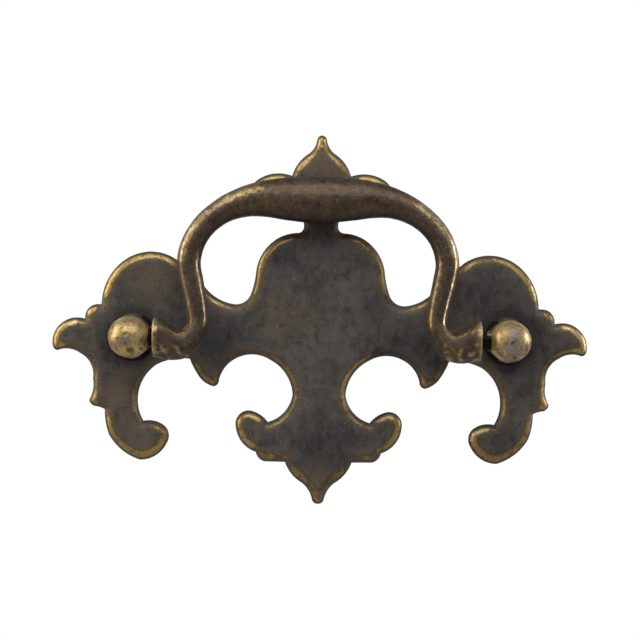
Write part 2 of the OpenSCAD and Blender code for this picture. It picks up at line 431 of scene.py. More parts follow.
class Graph(Nodes):
    """A material's nodes."""

    def __init__(self, name: str) -> None:
        """Starts a material with one shader.

        Args:
            name: The material's name.
        """
        self.material = bpy.data.materials.new(name)
        self.material.use_nodes = True
        super().__init__(self.material.node_tree)
        self.tree.nodes.clear()
        self.shader = self.add("BsdfPrincipled")
        self.feed(self.add("OutputMaterial").inputs["Surface"], self.shader.outputs[0])
        self.place = self.stretch(self.add("TexCoord").outputs["Object"], (1 / MM, 1 / MM, 1 / MM))

    def stretch(self, vector: Socket, factors: tuple[float, float, float]) -> Socket:
        """Multiplies a place by a factor on each axis.

        Args:
            vector: The place.
            factors: The factors of X, Y and Z.

        Returns:
            The stretched place.
        """
        node = self.add("VectorMath")
        node.operation = "MULTIPLY"
        self.feed(node.inputs[0], vector)
        self.feed(node.inputs[1], factors)
        return node.outputs["Vector"]

    def noise(
        self,
        size: float,
        detail: float = 3.0,
        rough: float = 0.55,
        twist: float = 0.0,
        place: Socket | None = None,
    ) -> Socket:
        """Cloudy noise from 0 to 1.

        Args:
            size: Size of its clouds in millimetres.
            detail: How many finer layers it has.
            rough: How strong the finer layers are.
            twist: How far the clouds are drawn out of shape.
            place: Where it is read, the mesh's own place if left out.

        Returns:
            The noise.
        """
        node = self.add("TexNoise")
        self.feed(node.inputs["Vector"], place or self.place)
        self.feed(node.inputs["Scale"], 1.0 / size)
        self.feed(node.inputs["Detail"], detail)
        self.feed(node.inputs["Roughness"], rough)
        self.feed(node.inputs["Distortion"], twist)
        return node.outputs["Fac"]

    def cells(self, size: float, place: Socket | None = None) -> Socket:
        """Distance to the nearest of many scattered points, in cells.

        Args:
            size: Mean distance between the points in millimetres.
            place: Where it is read, the mesh's own place if left out.

        Returns:
            The distance, 0 at each point.
        """
        node = self.add("TexVoronoi")
        self.feed(node.inputs["Vector"], place or self.place)
        self.feed(node.inputs["Scale"], 1.0 / size)
        return node.outputs["Distance"]

    def spots(
        self,
        size: float,
        specks: Socket,
        ragged: float,
        edge: float,
        core: float,
        place: Socket | None = None,
    ) -> Socket:
        """Small scattered spots with ragged edges.

        Args:
            size: Mean distance between the spots in millimetres.
            specks: The noise that makes their edges ragged.
            ragged: How much it does.
            edge: How far from its middle a spot starts, in cells.
            core: How far from its middle it is full.
            place: Where they are read, the mesh's own place if left out.

        Returns:
            The spots, from 0 between them to 1 in the middle of each.
        """
        return self.step(self.sum((self.cells(size, place), 1.0), (specks, ragged)), edge, core)

    def value(self, name: str) -> Socket:
        """A value that the mesh's points carry.

        Args:
            name: The attribute's name.

        Returns:
            The value.
        """
        node = self.add("Attribute")
        node.attribute_name = name
        return node.outputs["Fac"]

    def sum(self, *terms: tuple[Socket | float, float]) -> Socket:
        """Weighted sum of several values.

        Args:
            terms: Pairs of a value and its weight.

        Returns:
            The sum.
        """
        total: Socket | float = 0.0
        for value, weight in terms:
            node = self.add("Math")
            node.operation = "MULTIPLY_ADD"
            self.feed(node.inputs[0], value)
            self.feed(node.inputs[1], weight)
            self.feed(node.inputs[2], total)
            total = node.outputs[0]
        return total

    def blend(self, share: Socket | float, first: Socket | Colour, second: Socket | Colour) -> Socket:
        """Blends two colours.

        Args:
            share: The second colour's share.
            first: The colour at share 0.
            second: The colour at share 1.

        Returns:
            The blended colour.
        """
        node = self.add("Mix")
        node.data_type = "RGBA"
        self.feed(node.inputs["Factor"], share)
        inputs = [socket for socket in node.inputs if socket.type == "RGBA"]
        self.feed(inputs[0], first)
        self.feed(inputs[1], second)
        return next(socket for socket in node.outputs if socket.type == "RGBA")

    def bump(self, height: Socket, depth: float, under: Socket | None = None) -> Socket:
        """Turns a height into a bent normal.

        Args:
            height: The height, from 0 to 1.
            depth: What a height of 1 is in millimetres.
            under: A normal that is already bent, if there is one.

        Returns:
            The bent normal.
        """
        node = self.add("Bump")
        self.feed(node.inputs["Strength"], 1.0)
        self.feed(node.inputs["Distance"], depth * MM)
        self.feed(node.inputs["Height"], height)
        if under is not None:
            self.feed(node.inputs["Normal"], under)
        return node.outputs["Normal"]


@dataclass(frozen=True)
class Grains:
    """The noises that the layers of one finish share.

    Attributes:
        elsewhere: The mesh's own place, drawn out so that what is read there doesn't follow the rest.
        clouds: The patina's large clouds.
        mottle: Its smaller clouds.
        specks: Fine specks.
        grain: The casting's finest grain.
        pits: The small dark pits.
        tone: From 1 where nothing darkens a place to 0 in the darkest dirt and painted shade.
    """

    elsewhere: Socket
    clouds: Socket
    mottle: Socket
    specks: Socket
    grain: Socket
    pits: Socket
    tone: Socket


@dataclass(frozen=True)
class AgedBrass:
    """Brass under a dark patina, rubbed bare where the mesh carries wear.

    Attributes:
        name: The material's name.
        dark: Patina in its darkest spots, and the colour of dirt and painted shade where the mesh's tone is
            low.
        patina: Patina over most of the surface.
        pale: Patina where it is thin or dusty.
        bronze: Brass that shows dully through the patina.
        brass: Bare brass.
        bright: Bare brass where it is rubbed most.
        warm: Patina where it is warm and thin, where hands keep it thin and brown and where light is painted
            in.
        rust: Brown spots where the patina breaks up.
        cloud: Size of the patina's clouds.
        speck: Size of the specks that break the wear's edge.
        ragged: How much the specks break it.
        worn_low: Wear at which bare metal starts to show.
        worn_high: Wear at which it is all bare.
        patina_rough: Roughness of the patina.
        metal_rough: Roughness of the bare metal.
        sheen_through: How metallic the patina itself is.
        metal_sheen: How metallic the bare metal is, under its fine dirt.
        dirt_and_shade_rough: Roughness where the mesh's tone is low, in dirt and in painted shade in corners
            and gaps.
        blotches: Strength of the dark blotches where dirt has gathered.
        speckle: Strength of the fine brown speckle.
        dust: Strength of the few pale grains.
        pits: Strength of the small dark pits.
        glint_specks: How much small rubbed high spots add to the wear; these bright specks also paint in the
            glints of the cast grain.
        grain: Size of the casting's fine grain.
        grain_depth: Its depth.
        lump_depth: Depth of its larger unevenness.
        gloss: How strongly the surface mirrors where it isn't metallic.
        coat: Strength of the old wax's shine.
        coat_rough: Roughness of the wax.
    """

    name: str
    dark: Colour
    patina: Colour
    pale: Colour
    bronze: Colour
    brass: Colour
    bright: Colour
    warm: Colour
    rust: Colour
    cloud: float = 5.0
    speck: float = 0.7
    ragged: float = 0.9
    worn_low: float = 0.35
    worn_high: float = 0.65
    patina_rough: float = 0.5
    metal_rough: float = 0.36
    sheen_through: float = 0.1
    metal_sheen: float = 0.85
    dirt_and_shade_rough: float = 0.85
    blotches: float = 0.0
    speckle: float = 0.2
    dust: float = 0.3
    pits: float = 0.6
    glint_specks: float = 0.25
    grain: float = 0.22
    grain_depth: float = 0.02
    lump_depth: float = 0.05
    gloss: float = 0.35
    coat: float = 0.0
    coat_rough: float = 0.22

    def material(self) -> bpy.types.Material:
        """Builds the finish's nodes.

        Returns:
            The material.
        """
        graph = Graph(self.name)
        grains = self.grains(graph)
        rubbed = self.rubbed(graph, grains)
        thin = graph.step(rubbed, self.worn_low - 0.2, self.worn_low + 0.15)
        bare = graph.step(rubbed, self.worn_low, self.worn_high)

        metal = self.metal_colour(graph, grains, rubbed, bare)
        colour = graph.blend(thin, self.patina_colour(graph, grains), metal)
        colour = graph.blend(graph.product(graph.step(grains.grain, 0.50, 0.34), 0.5), colour, self.dark)
        # Where the mesh's tone is low, the colour goes to dark: dirt, and painted shade.
        colour = graph.blend(graph.step(grains.tone, 0.0, 1.0), self.dark, colour)
        graph.feed(graph.shader.inputs["Base Color"], colour)

        # Places of low tone, dirt and painted shade, count as metal, so that their dark colour takes the
        # mirroring with it.
        grimy_or_shaded, clean_and_lit = graph.step(grains.tone, 0.35, 0.0), graph.step(grains.tone, 0.35, 0.0, 1.0, 0.0)
        metallic = graph.product(clean_and_lit, graph.step(thin, 0.0, 1.0, self.sheen_through, self.metal_sheen))
        graph.feed(graph.shader.inputs["Metallic"], graph.sum((metallic, 1.0), (grimy_or_shaded, 1.0)))
        rough = graph.step(bare, 0.0, 1.0, self.patina_rough, self.metal_rough)
        rough = graph.sum((rough, 1.0), (grains.mottle, 0.16), (-0.08, 1.0))
        rough = graph.sum((rough, 1.0), (grimy_or_shaded, self.dirt_and_shade_rough - self.patina_rough))
        graph.feed(graph.shader.inputs["Roughness"], rough)
        graph.feed(graph.shader.inputs["Specular IOR Level"], self.gloss)
        graph.feed(graph.shader.inputs["Coat Weight"], self.coat)
        graph.feed(graph.shader.inputs["Coat Roughness"], self.coat_rough)

        surface = graph.sum((grains.specks, 0.6), (grains.grain, 0.4), (grains.pits, -0.8))
        normal = graph.bump(surface, self.grain_depth * 2, graph.bump(grains.mottle, self.lump_depth))
        graph.feed(graph.shader.inputs["Normal"], normal)
        return graph.material

    def grains(self, graph: Graph) -> Grains:
        """Makes the noises that the finish's layers share.

        Args:
            graph: The material in the making.

        Returns:
            The noises.
        """
        clouds = graph.noise(self.cloud, detail=5.0, rough=0.6, twist=0.4)
        specks = graph.noise(self.speck, detail=3.0, rough=0.6)
        pits = graph.spots(2.1, specks, ragged=0.35, edge=0.30, core=0.20)
        return Grains(
            elsewhere=graph.stretch(graph.place, (-0.9, 1.1, 0.8)),
            clouds=clouds,
            mottle=graph.noise(self.cloud / 4, detail=4.0, rough=0.65),
            specks=specks,
            grain=graph.noise(self.grain, detail=2.0, rough=0.6),
            pits=graph.product(pits, graph.step(clouds, 0.42, 0.60), self.pits),
            tone=graph.value(TONE),
        )

    def patina_colour(self, graph: Graph, grains: Grains) -> Socket:
        """The patina's colour, with its clouds, speckle, pits, blotches and dust.

        Args:
            graph: The material in the making.
            grains: The finish's noises.

        Returns:
            The colour.
        """
        mottle, specks, elsewhere = grains.mottle, grains.specks, grains.elsewhere
        dragged = graph.noise(1.5, detail=4.0, rough=0.65, place=graph.stretch(graph.place, (1.2, 1.0, 0.7)))
        drawn = graph.stretch(graph.place, (1.3, 1.0, 0.6))
        blotches = graph.step(graph.noise(2.3, detail=4.0, rough=0.62, twist=0.5, place=drawn), 0.50, 0.62)
        blotches = graph.product(blotches, graph.step(grains.tone, 0.78, 0.45), self.blotches)
        speckle = graph.step(graph.noise(0.42, detail=2.0, rough=0.6, place=elsewhere), 0.50, 0.68)
        dust = graph.spots(1.2, specks, ragged=0.4, edge=0.30, core=0.23, place=elsewhere)

        cover = graph.sum((grains.clouds, 0.45), (mottle, 0.25), (dragged, 0.30))
        skin = graph.blend(graph.step(cover, 0.41, 0.59), self.patina, self.pale)
        warm_share = graph.sum((graph.value(WARMTH), 1.3), (mottle, 0.8), (specks, 0.5), (-0.85, 1.0))
        skin = graph.blend(graph.step(warm_share, 0.0, 1.0), skin, self.warm)
        skin = graph.blend(graph.step(graph.sum((mottle, 0.55), (specks, 0.45)), 0.44, 0.30), skin, self.dark)
        skin = graph.blend(graph.product(speckle, self.speckle), skin, self.warm)
        skin = graph.blend(grains.pits, skin, self.dark)
        skin = graph.blend(blotches, skin, self.dark)
        return graph.blend(graph.product(dust, self.dust), skin, self.bright)

    def rubbed(self, graph: Graph, grains: Grains) -> Socket:
        """How far each place is rubbed: the mesh's wear, broken up by the noises.

        Args:
            graph: The material in the making.
            grains: The finish's noises.

        Returns:
            The wear, to be set against worn_low and worn_high.
        """
        # Small rubbed high spots, bright specks that also paint in the glints of the cast grain.
        glint_specks = graph.spots(0.85, grains.specks, ragged=0.3, edge=0.44, core=0.30, place=grains.elsewhere)
        wear = graph.sum(
            (graph.value(WEAR), 1.0),
            (grains.specks, 0.6 * self.ragged),
            (grains.mottle, self.ragged),
            (grains.clouds, 0.4 * self.ragged),
        )
        return graph.sum((wear, 1.0), (-self.ragged, 1.0), (glint_specks, self.glint_specks))

    def metal_colour(self, graph: Graph, grains: Grains, rubbed: Socket, bare: Socket) -> Socket:
        """The metal's colour, from dull bronze to bright brass, with brown spots where it starts to show.

        Args:
            graph: The material in the making.
            grains: The finish's noises.
            rubbed: How far each place is rubbed.
            bare: How bare it is.

        Returns:
            The colour.
        """
        polished = graph.step(rubbed, self.worn_high, self.worn_high + 0.4)
        metal = graph.blend(bare, self.bronze, graph.blend(polished, self.brass, self.bright))
        spots = graph.noise(1.1, detail=3.0, rough=0.6, place=grains.elsewhere)
        rusty = graph.product(graph.step(spots, 0.54, 0.66), graph.step(polished, 0.6, 0.1), 0.75)
        return graph.blend(rusty, metal, self.rust)


PLATE_FINISH = AgedBrass(
    name="plate_patina",
    dark=(0.015, 0.015, 0.014),
    patina=(0.050, 0.047, 0.043),
    pale=(0.098, 0.087, 0.080),
    bronze=(0.125, 0.096, 0.052),
    brass=(0.375, 0.262, 0.098),
    bright=(0.60, 0.46, 0.235),
    warm=(0.128, 0.095, 0.064),
    rust=(0.16, 0.080, 0.034),
    cloud=9.0,
    ragged=0.55,
    glint_specks=0.05,
    blotches=0.8,
    speckle=0.28,
    pits=0.5,
)
BAIL_FINISH = AgedBrass(
    name="bail_patina",
    dark=(0.014, 0.010, 0.007),
    patina=(0.042, 0.0275, 0.018),
    pale=(0.078, 0.052, 0.034),
    bronze=(0.15, 0.103, 0.052),
    brass=(0.36, 0.265, 0.140),
    bright=(0.68, 0.59, 0.44),
    warm=(0.165, 0.110, 0.064),
    rust=(0.15, 0.080, 0.036),
    ragged=0.7,
    glint_specks=0.08,
    speckle=0.45,
    dust=0.2,
    grain_depth=0.034,
    patina_rough=0.42,
    sheen_through=0.5,
    pits=0.5,
    coat=0.08,
)
POST_FINISH = AgedBrass(
    name="post_brass",
    dark=(0.014, 0.012, 0.009),
    patina=(0.23, 0.175, 0.150),
    pale=(0.30, 0.245, 0.215),
    bronze=(0.33, 0.225, 0.105),
    brass=(0.52, 0.385, 0.175),
    bright=(0.72, 0.58, 0.32),
    warm=(0.33, 0.26, 0.17),
    rust=(0.21, 0.11, 0.045),
    cloud=4.0,
    ragged=0.65,
    glint_specks=0.1,
    sheen_through=0.6,
    metal_sheen=0.75,
    pits=0.5,
    coat=0.08,
)


@dataclass
class Outline:
    """The plate's outline as a closed loop of points, clockwise from the top.

    Attributes:
        width: Width of the finished plate.
        height: Its height.
        spacing: Distance between the loop's points.
        corner_deg: How much the loop bends at an inner corner that needs a fan.
        fan: The fan's directions, as shares of the turn.
        exposed_over: Length over which the outline's bend is taken to judge how exposed it is.
        hollow_bend: Bend per millimetre of a hollow that no hand reaches.
        tip_bend: Bend per millimetre of a tip that every hand reaches.
        loop: The loop, one row per point.
    """

    width: float
    height: float
    spacing: float = 0.22
    corner_deg: float = 12.0
    fan: tuple[float, ...] = (0.0, 0.2, 0.4, 0.6, 0.8, 1.0)
    exposed_over: float = 3.0
    hollow_bend: float = -0.25
    tip_bend: float = 0.12
    loop: np.ndarray = field(init=False)

    def __post_init__(self) -> None:
        """Draws the loop and brings it to the plate's size."""
        strokes = [stroke for strokes in SCROLLS.values() for stroke in strokes]
        half = [p for a, b in zip(strokes, strokes[1:]) for p in self.arc(a, b)]
        half.append(np.array(strokes[-1][:2], dtype=float))
        right = np.array(half)
        left = right[-2:0:-1] * (-1, 1)
        loop = np.vstack([right, left])
        low, high = loop.min(0), loop.max(0)
        scale = np.array([self.width, self.height]) / (high - low)
        self.loop = loop * scale

    def arc(self, start: tuple[float, ...], end: tuple[float, ...]) -> list[np.ndarray]:
        """Points along one arc, without its end.

        Args:
            start: Where the arc starts, with its rise.
            end: Where it ends.

        Returns:
            The points, about the outline's spacing apart.
        """
        a, b, rise = np.array(start[:2], dtype=float), np.array(end[:2], dtype=float), start[2]
        chord = float(np.linalg.norm(b - a))
        along = (b - a) / chord
        if rise == 0:
            count = max(1, math.ceil(chord / self.spacing))
            return [a + (b - a) * k / count for k in range(count)]
        half_turn = 2 * math.atan(2 * abs(rise) / chord)
        radius = chord / 2 / math.sin(half_turn)
        out = np.array([-along[1], along[0]]) * math.copysign(1.0, rise)
        centre = (a + b) / 2 + out * (abs(rise) - radius)
        count = max(1, math.ceil(2 * half_turn * radius / self.spacing))
        turns = [half_turn * (2 * k / count - 1) for k in range(count)]
        return [centre + radius * (out * math.cos(t) + along * math.sin(t)) for t in turns]

    def inward(self) -> np.ndarray:
        """The direction into the plate at each of the loop's points.

        Returns:
            The directions, one row each.
        """
        way = np.roll(self.loop, -1, axis=0) - np.roll(self.loop, 1, axis=0)
        way /= np.linalg.norm(way, axis=1)[:, None]
        return np.stack([way[:, 1], -way[:, 0]], axis=1)

    def fans(self) -> list[tuple[np.ndarray, np.ndarray]]:
        """Places and directions from which rings are set off, with a fan at each inner corner.

        Returns:
            Pairs of a point on the outline and a direction into the plate.
        """
        rows = list(zip(self.loop, self.inward()))
        before = self.loop - np.roll(self.loop, 1, axis=0)
        after = np.roll(self.loop, -1, axis=0) - self.loop
        turn = before[:, 0] * after[:, 1] - before[:, 1] * after[:, 0]
        lengths = np.linalg.norm(before, axis=1), np.linalg.norm(after, axis=1)
        bend = np.arcsin(np.clip(turn / lengths[0] / lengths[1], -1, 1))
        for k in np.nonzero(bend > math.radians(self.corner_deg))[0]:
            first = np.array([before[k][1], -before[k][0]]) / np.linalg.norm(before[k])
            second = np.array([after[k][1], -after[k][0]]) / np.linalg.norm(after[k])
            for share in self.fan:
                way = first * (1 - share) + second * share
                rows.append((self.loop[k], way / np.linalg.norm(way)))
        return rows

    def exposure(self) -> np.ndarray:
        """How far each of the loop's points stands out to be rubbed.

        Returns:
            Values from 0 in the hollows to 1 on the lobes and tips, one per point.
        """
        before = self.loop - np.roll(self.loop, 1, axis=0)
        after = np.roll(self.loop, -1, axis=0) - self.loop
        turn = np.arctan2(
            before[:, 1] * after[:, 0] - before[:, 0] * after[:, 1], (before * after).sum(axis=1)
        )
        reach = int(self.exposed_over / self.spacing)
        window = np.hanning(2 * reach + 1)
        around = np.concatenate([turn[-reach:], turn, turn[:reach]])
        bend = np.convolve(around, window / window.sum(), "valid") / self.spacing
        return smoothstep(self.hollow_bend, self.tip_bend, bend)

    def spans(self, z: float) -> list[Point2]:
        """The stretches of one level line that lie inside the outline.

        Args:
            z: The line's height.

        Returns:
            Pairs of the X at which a stretch starts and ends.
        """
        p, q = self.loop, np.roll(self.loop, -1, axis=0)
        crossing = (p[:, 1] > z) != (q[:, 1] > z)
        p, q = p[crossing], q[crossing]
        xs = np.sort(p[:, 0] + (z - p[:, 1]) / (q[:, 1] - p[:, 1]) * (q[:, 0] - p[:, 0]))
        return list(zip(xs[0::2], xs[1::2]))


@dataclass(frozen=True)
class Patch:
    """A place on the plate where the patina has aged in its own way, or where a shadow is painted.

    Attributes:
        x: Its place along the drawer front.
        z: Its height.
        radius: How far it reaches.
        warmth: How far hands have kept it thin and brown.
        shade: How far it is darkened, by dirt and by a painted shadow of the bail or posts.
        rub: How much more the rim is rubbed there, or less if below 0.
    """

    x: float
    z: float
    radius: float
    warmth: float = 0.0
    shade: float = 0.0
    rub: float = 0.0


# Warm patches, then dark ones, some of dirt and some painted shadow beside the posts and under the bail, then
# stretches of the rim that are rubbed more or less than the rest.
PATCHES: tuple[Patch, ...] = (
    Patch(0, 36, 7, warmth=1.0, rub=0.18),
    Patch(-12, 30, 5, warmth=0.9),
    Patch(12, 30, 5, warmth=0.9, rub=-0.1),
    Patch(-34, 12, 7, warmth=0.7),
    Patch(-37, 16, 4, warmth=0.7, rub=0.08),
    Patch(-37, -18, 7, warmth=0.65),
    Patch(-40, -12, 5, warmth=0.85),
    Patch(34, -22, 4, warmth=0.4),
    Patch(36, -21, 7, shade=0.55, rub=-0.15),
    Patch(0, -29, 6, warmth=0.85, rub=-0.25),
    Patch(-8, -26, 5, warmth=0.7, rub=-0.2),
    Patch(8, -26, 5, warmth=0.7, rub=-0.2),
    Patch(-13, -19, 4, warmth=0.55),
    Patch(13, -19, 4, warmth=0.3, shade=0.2),
    Patch(-23, -7, 4, warmth=0.3, rub=-0.3),
    Patch(23, -7, 4, rub=-0.3),
    Patch(-49, 0, 4, warmth=0.5),
    Patch(49, 0, 4, warmth=0.5),
    Patch(-2, -10, 6, warmth=0.3),
    Patch(-4, 4, 8, warmth=0.45),
    Patch(-8, 4, 7, warmth=0.6),
    Patch(-7.5, 17, 5, shade=0.58),
    Patch(-10.5, 9, 2, shade=0.3),
    Patch(11, 7, 4, shade=0.5),
    Patch(7, 17, 6, shade=0.38),
    # Painted shadow under the grip.
    Patch(0, 23, 4.5, shade=0.80, rub=-0.6),
    # Right of the right arm: dirt, and painted shadow.
    Patch(32, 8, 7, shade=0.48),
    Patch(36, 12, 7, shade=0.25),
    Patch(42, 6, 5, shade=0.3),
    # Beside the posts and near the bail's elbows: dirt, and painted shadow.
    Patch(-43, -5, 4, shade=0.40),
    Patch(46, -3, 8, shade=0.58),
    Patch(-21, -1, 7, shade=0.72),
    Patch(14, -2, 7, shade=0.68),
    Patch(23, -3, 6, shade=0.56),
    Patch(1, -23, 9, shade=0.62),
    Patch(12, -17, 5, shade=0.35),
    Patch(33, 17.5, 5, rub=-0.4),
    Patch(43, 11, 5, rub=0.1),
    Patch(-43, 11, 6, rub=0.12),
    Patch(-31, 16, 4, rub=-0.2),
    Patch(-12, -24, 3, rub=-0.3),
    Patch(12, -24, 3, rub=-0.25),
    Patch(-5.5, -11, 4, rub=0.25),
    Patch(5.5, -11, 4, rub=0.9),
    Patch(-9, -16.2, 2.5, rub=0.6),
    Patch(9.5, -16.5, 3, rub=0.4),
    Patch(-14.5, -15.6, 2.5, rub=-0.15),
    Patch(13.2, -15.4, 2.5, rub=-0.4),
    Patch(16.2, -18.2, 3, rub=0.5),
    Patch(-33.5, -17.7, 2.5, rub=-0.45),
    Patch(-38, -23.5, 5, rub=-0.2),
    Patch(31, -19.5, 3, rub=0.3),
    Patch(45.5, -13, 2.5, rub=-0.3),
    Patch(46.5, -9.5, 4, rub=0.45),
    Patch(36, -15.5, 3.5, rub=0.5),
    Patch(-51, 3.2, 4, rub=0.35),
    Patch(51.5, 2, 4, rub=0.35),
    Patch(-14, -4, 4, rub=-0.4),
    Patch(14, -4, 4, rub=-0.4),
    Patch(-35, -7, 5, rub=-0.45),
    Patch(36, -8, 6, rub=-0.45),
    Patch(-47, -8, 6, rub=-0.3),
    Patch(-11.5, 17, 4, rub=0.2),
    Patch(9, 18, 5, rub=-0.3),
)


@dataclass(frozen=True)
class RimWear:
    """The rubbed band just inside the plate's front edge. Pairs are for its hollows and for its tips.

    Attributes:
        start: Distance of the band's start from the outline.
        end: Distance of its end.
        fade_in: How softly it starts.
        fade_out: How softly it ends.
        strength: How rubbed it is.
        uneven: How much that changes along the rim.
        halo: How rubbed the plate is round the band.
        halo_reach: Where the halo ends and where it is full.
        drop_more: How much wider the band is on the lower drop.
        drop_z: Between which heights it becomes wider.
    """

    start: Point2 = (0.42, 0.12)
    end: Point2 = (1.55, 2.0)
    fade_in: float = 0.4
    fade_out: float = 0.9
    strength: Point2 = (0.55, 0.66)
    uneven: float = 0.16
    halo: Point2 = (0.12, 0.22)
    halo_reach: Point2 = (3.2, 1.0)
    drop_more: float = 0.5
    drop_z: Point2 = (-18, -24)

    def band(self, points: np.ndarray, inside: np.ndarray, exposed: np.ndarray) -> np.ndarray:
        """The band's wear.

        Args:
            points: The plate's points.
            inside: Their distance to the outline.
            exposed: How exposed the outline is beside them.

        Returns:
            The wear at each point.
        """
        along = np.array([unevenness(x, 0, z, 5.0, 2.2) for x, _, z in points])
        start = mix(*self.start, exposed)
        end = mix(*self.end, exposed) + self.drop_more * smoothstep(*self.drop_z, points[:, 2])
        band = smoothstep(start, start + self.fade_in, inside) * smoothstep(end, end - self.fade_out, inside)
        return band * (mix(*self.strength, exposed) + self.uneven * along)

    def around(self, inside: np.ndarray, exposed: np.ndarray) -> np.ndarray:
        """The halo's wear.

        Args:
            inside: Distance of the plate's points to the outline.
            exposed: How exposed the outline is beside them.

        Returns:
            The wear at each point.
        """
        return mix(*self.halo, exposed) * smoothstep(*self.halo_reach, inside)


@dataclass
class Backplate:
    """The scrolled backplate, with its rounded and rubbed front edge.

    Attributes:
        thick: Thickness of the plate.
        edge_reach: How far the rounding of the front edge reaches in.
        edge_uneven: How much that reach changes along the edge, as a share.
        edge_depth: How deep it is.
        post_x: Distance of the posts' holes from the middle.
        hole_r: Radius of the holes.
        sink_r: Radius of their countersinks at the back.
        sink_depth: Depth of the countersinks.
        hole_sides: Number of points round a hole.
        lumps: Unevenness of the cast front.
        grid: Distance between the front's points inside the rings.
        back_grid: Distance between the back's points.
        back_margin: Least distance of the back's points to the outline.
        ring_turns: Where the rings stand on the rounding, in degrees from the outline.
        crowding: Least distance between two points of a ring, as a share of the outline's spacing.
        true_inset: Share of its inset at which a ring's point still counts as on the ring.
        sharp_deg: Edges that bend more than this stay sharp.
        rim: The wear of the front edge.
        outline: The plate's outline.
        tree: The outline's points with three more between each two, to measure distances to.
    """

    thick: float = 2.6
    edge_reach: float = 2.2
    edge_uneven: float = 0.22
    edge_depth: float = 1.6
    post_x: float = 38.0
    hole_r: float = 3.35
    sink_r: float = 4.05
    sink_depth: float = 0.8
    hole_sides: int = 64
    lumps: Layers = ((0.05, 6.0, 0.0), (0.02, 1.8, 7.7))
    grid: float = 0.42
    back_grid: float = 2.4
    back_margin: float = 1.2
    ring_turns: tuple[float, ...] = (18, 32, 45, 57, 68, 79, 90)
    crowding: float = 0.55
    true_inset: float = 0.985
    sharp_deg: float = 40.0
    rim: RimWear = RimWear()
    outline: Outline = field(init=False)
    tree: KDTree = field(init=False)

    def __post_init__(self) -> None:
        """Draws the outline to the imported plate's size."""
        low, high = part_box("backplate")
        self.outline = Outline(width=(high.x - low.x) / MM, height=(high.z - low.z) / MM)
        dense = self.outline.loop
        after = np.roll(dense, -1, axis=0)
        rows = np.vstack([dense + (after - dense) * share for share in (0.0, 0.25, 0.5, 0.75)])
        self.tree = KDTree(len(rows))
        for k, (x, z) in enumerate(rows):
            self.tree.insert((x, z, 0.0), k)
        self.tree.balance()

    def from_edge(self, x: float, z: float) -> float:
        """Distance from a place on the plate to its outline."""
        return self.tree.find((x, z, 0.0))[2]

    def face_height(self, x: float, z: float, inside: float) -> float:
        """Height of the plate's front over its back.

        Args:
            x: Place along the drawer front.
            z: Height on the drawer front.
            inside: Distance to the outline.

        Returns:
            The height of the worn and slightly uneven face.
        """
        reach = self.edge_reach * (1 + self.edge_uneven * unevenness(x, 0, z, 4.5, 3.1))
        gone = max(0.0, 1 - inside / reach)
        rounding = self.edge_depth * (1 - math.sqrt(max(0.0, 1 - gone * gone)))
        return self.thick - rounding + lumpiness(x, 0, z, self.lumps) * smoothstep(0.0, 1.5, inside)

    def ring_places(self) -> list[Point2]:
        """Places on rings that follow the outline, close together where the edge bends most.

        Returns:
            The places, no two of a ring closer than the crowding allows.
        """
        kept: list[Point2] = []
        fans = self.outline.fans()
        near = self.crowding * self.outline.spacing
        cells = [(i, j) for i in (-1, 0, 1) for j in (-1, 0, 1)]
        for turn in self.ring_turns:
            inset = self.edge_reach * (1 - math.cos(math.radians(turn)))
            taken: dict[tuple[int, int], list[np.ndarray]] = {}
            for point, way in fans:
                place = point + way * inset
                if self.from_edge(*place) < self.true_inset * inset:
                    continue
                col, row = int(place[0] // near), int(place[1] // near)
                beside = [p for i, j in cells for p in taken.get((col + i, row + j), [])]
                if any(np.linalg.norm(p - place) < near for p in beside):
                    continue
                taken.setdefault((col, row), []).append(place)
                kept.append((place[0], place[1]))
        return kept

    def grid_places(self, grid: float, margin: float) -> list[Point2]:
        """Places on a three-cornered grid inside the outline.

        Args:
            grid: Distance between the places.
            margin: Least distance to the outline.

        Returns:
            The places, clear of the posts' holes.
        """
        kept: list[Point2] = []
        row_step = grid * math.sqrt(3) / 2
        low, high = self.outline.loop[:, 1].min(), self.outline.loop[:, 1].max()
        for row in range(int((high - low) / row_step)):
            z = low + (row + 0.5) * row_step
            shift = grid / 2 * (row % 2)
            for start, end in self.outline.spans(z):
                for k in range(math.ceil((start - shift) / grid), math.floor((end - shift) / grid) + 1):
                    x = k * grid + shift
                    from_hole = math.hypot(abs(x) - self.post_x, z)
                    if from_hole > self.hole_r + 0.4 * grid and self.from_edge(x, z) > margin:
                        kept.append((x, z))
        return kept

    def hole_ring(self, side: Side, radius: float) -> list[Point2]:
        """Places round the rim of one hole."""
        middle = side.value * self.post_x
        return [(middle + radius * math.cos(t), radius * math.sin(t)) for t in round_turns(self.hole_sides)]

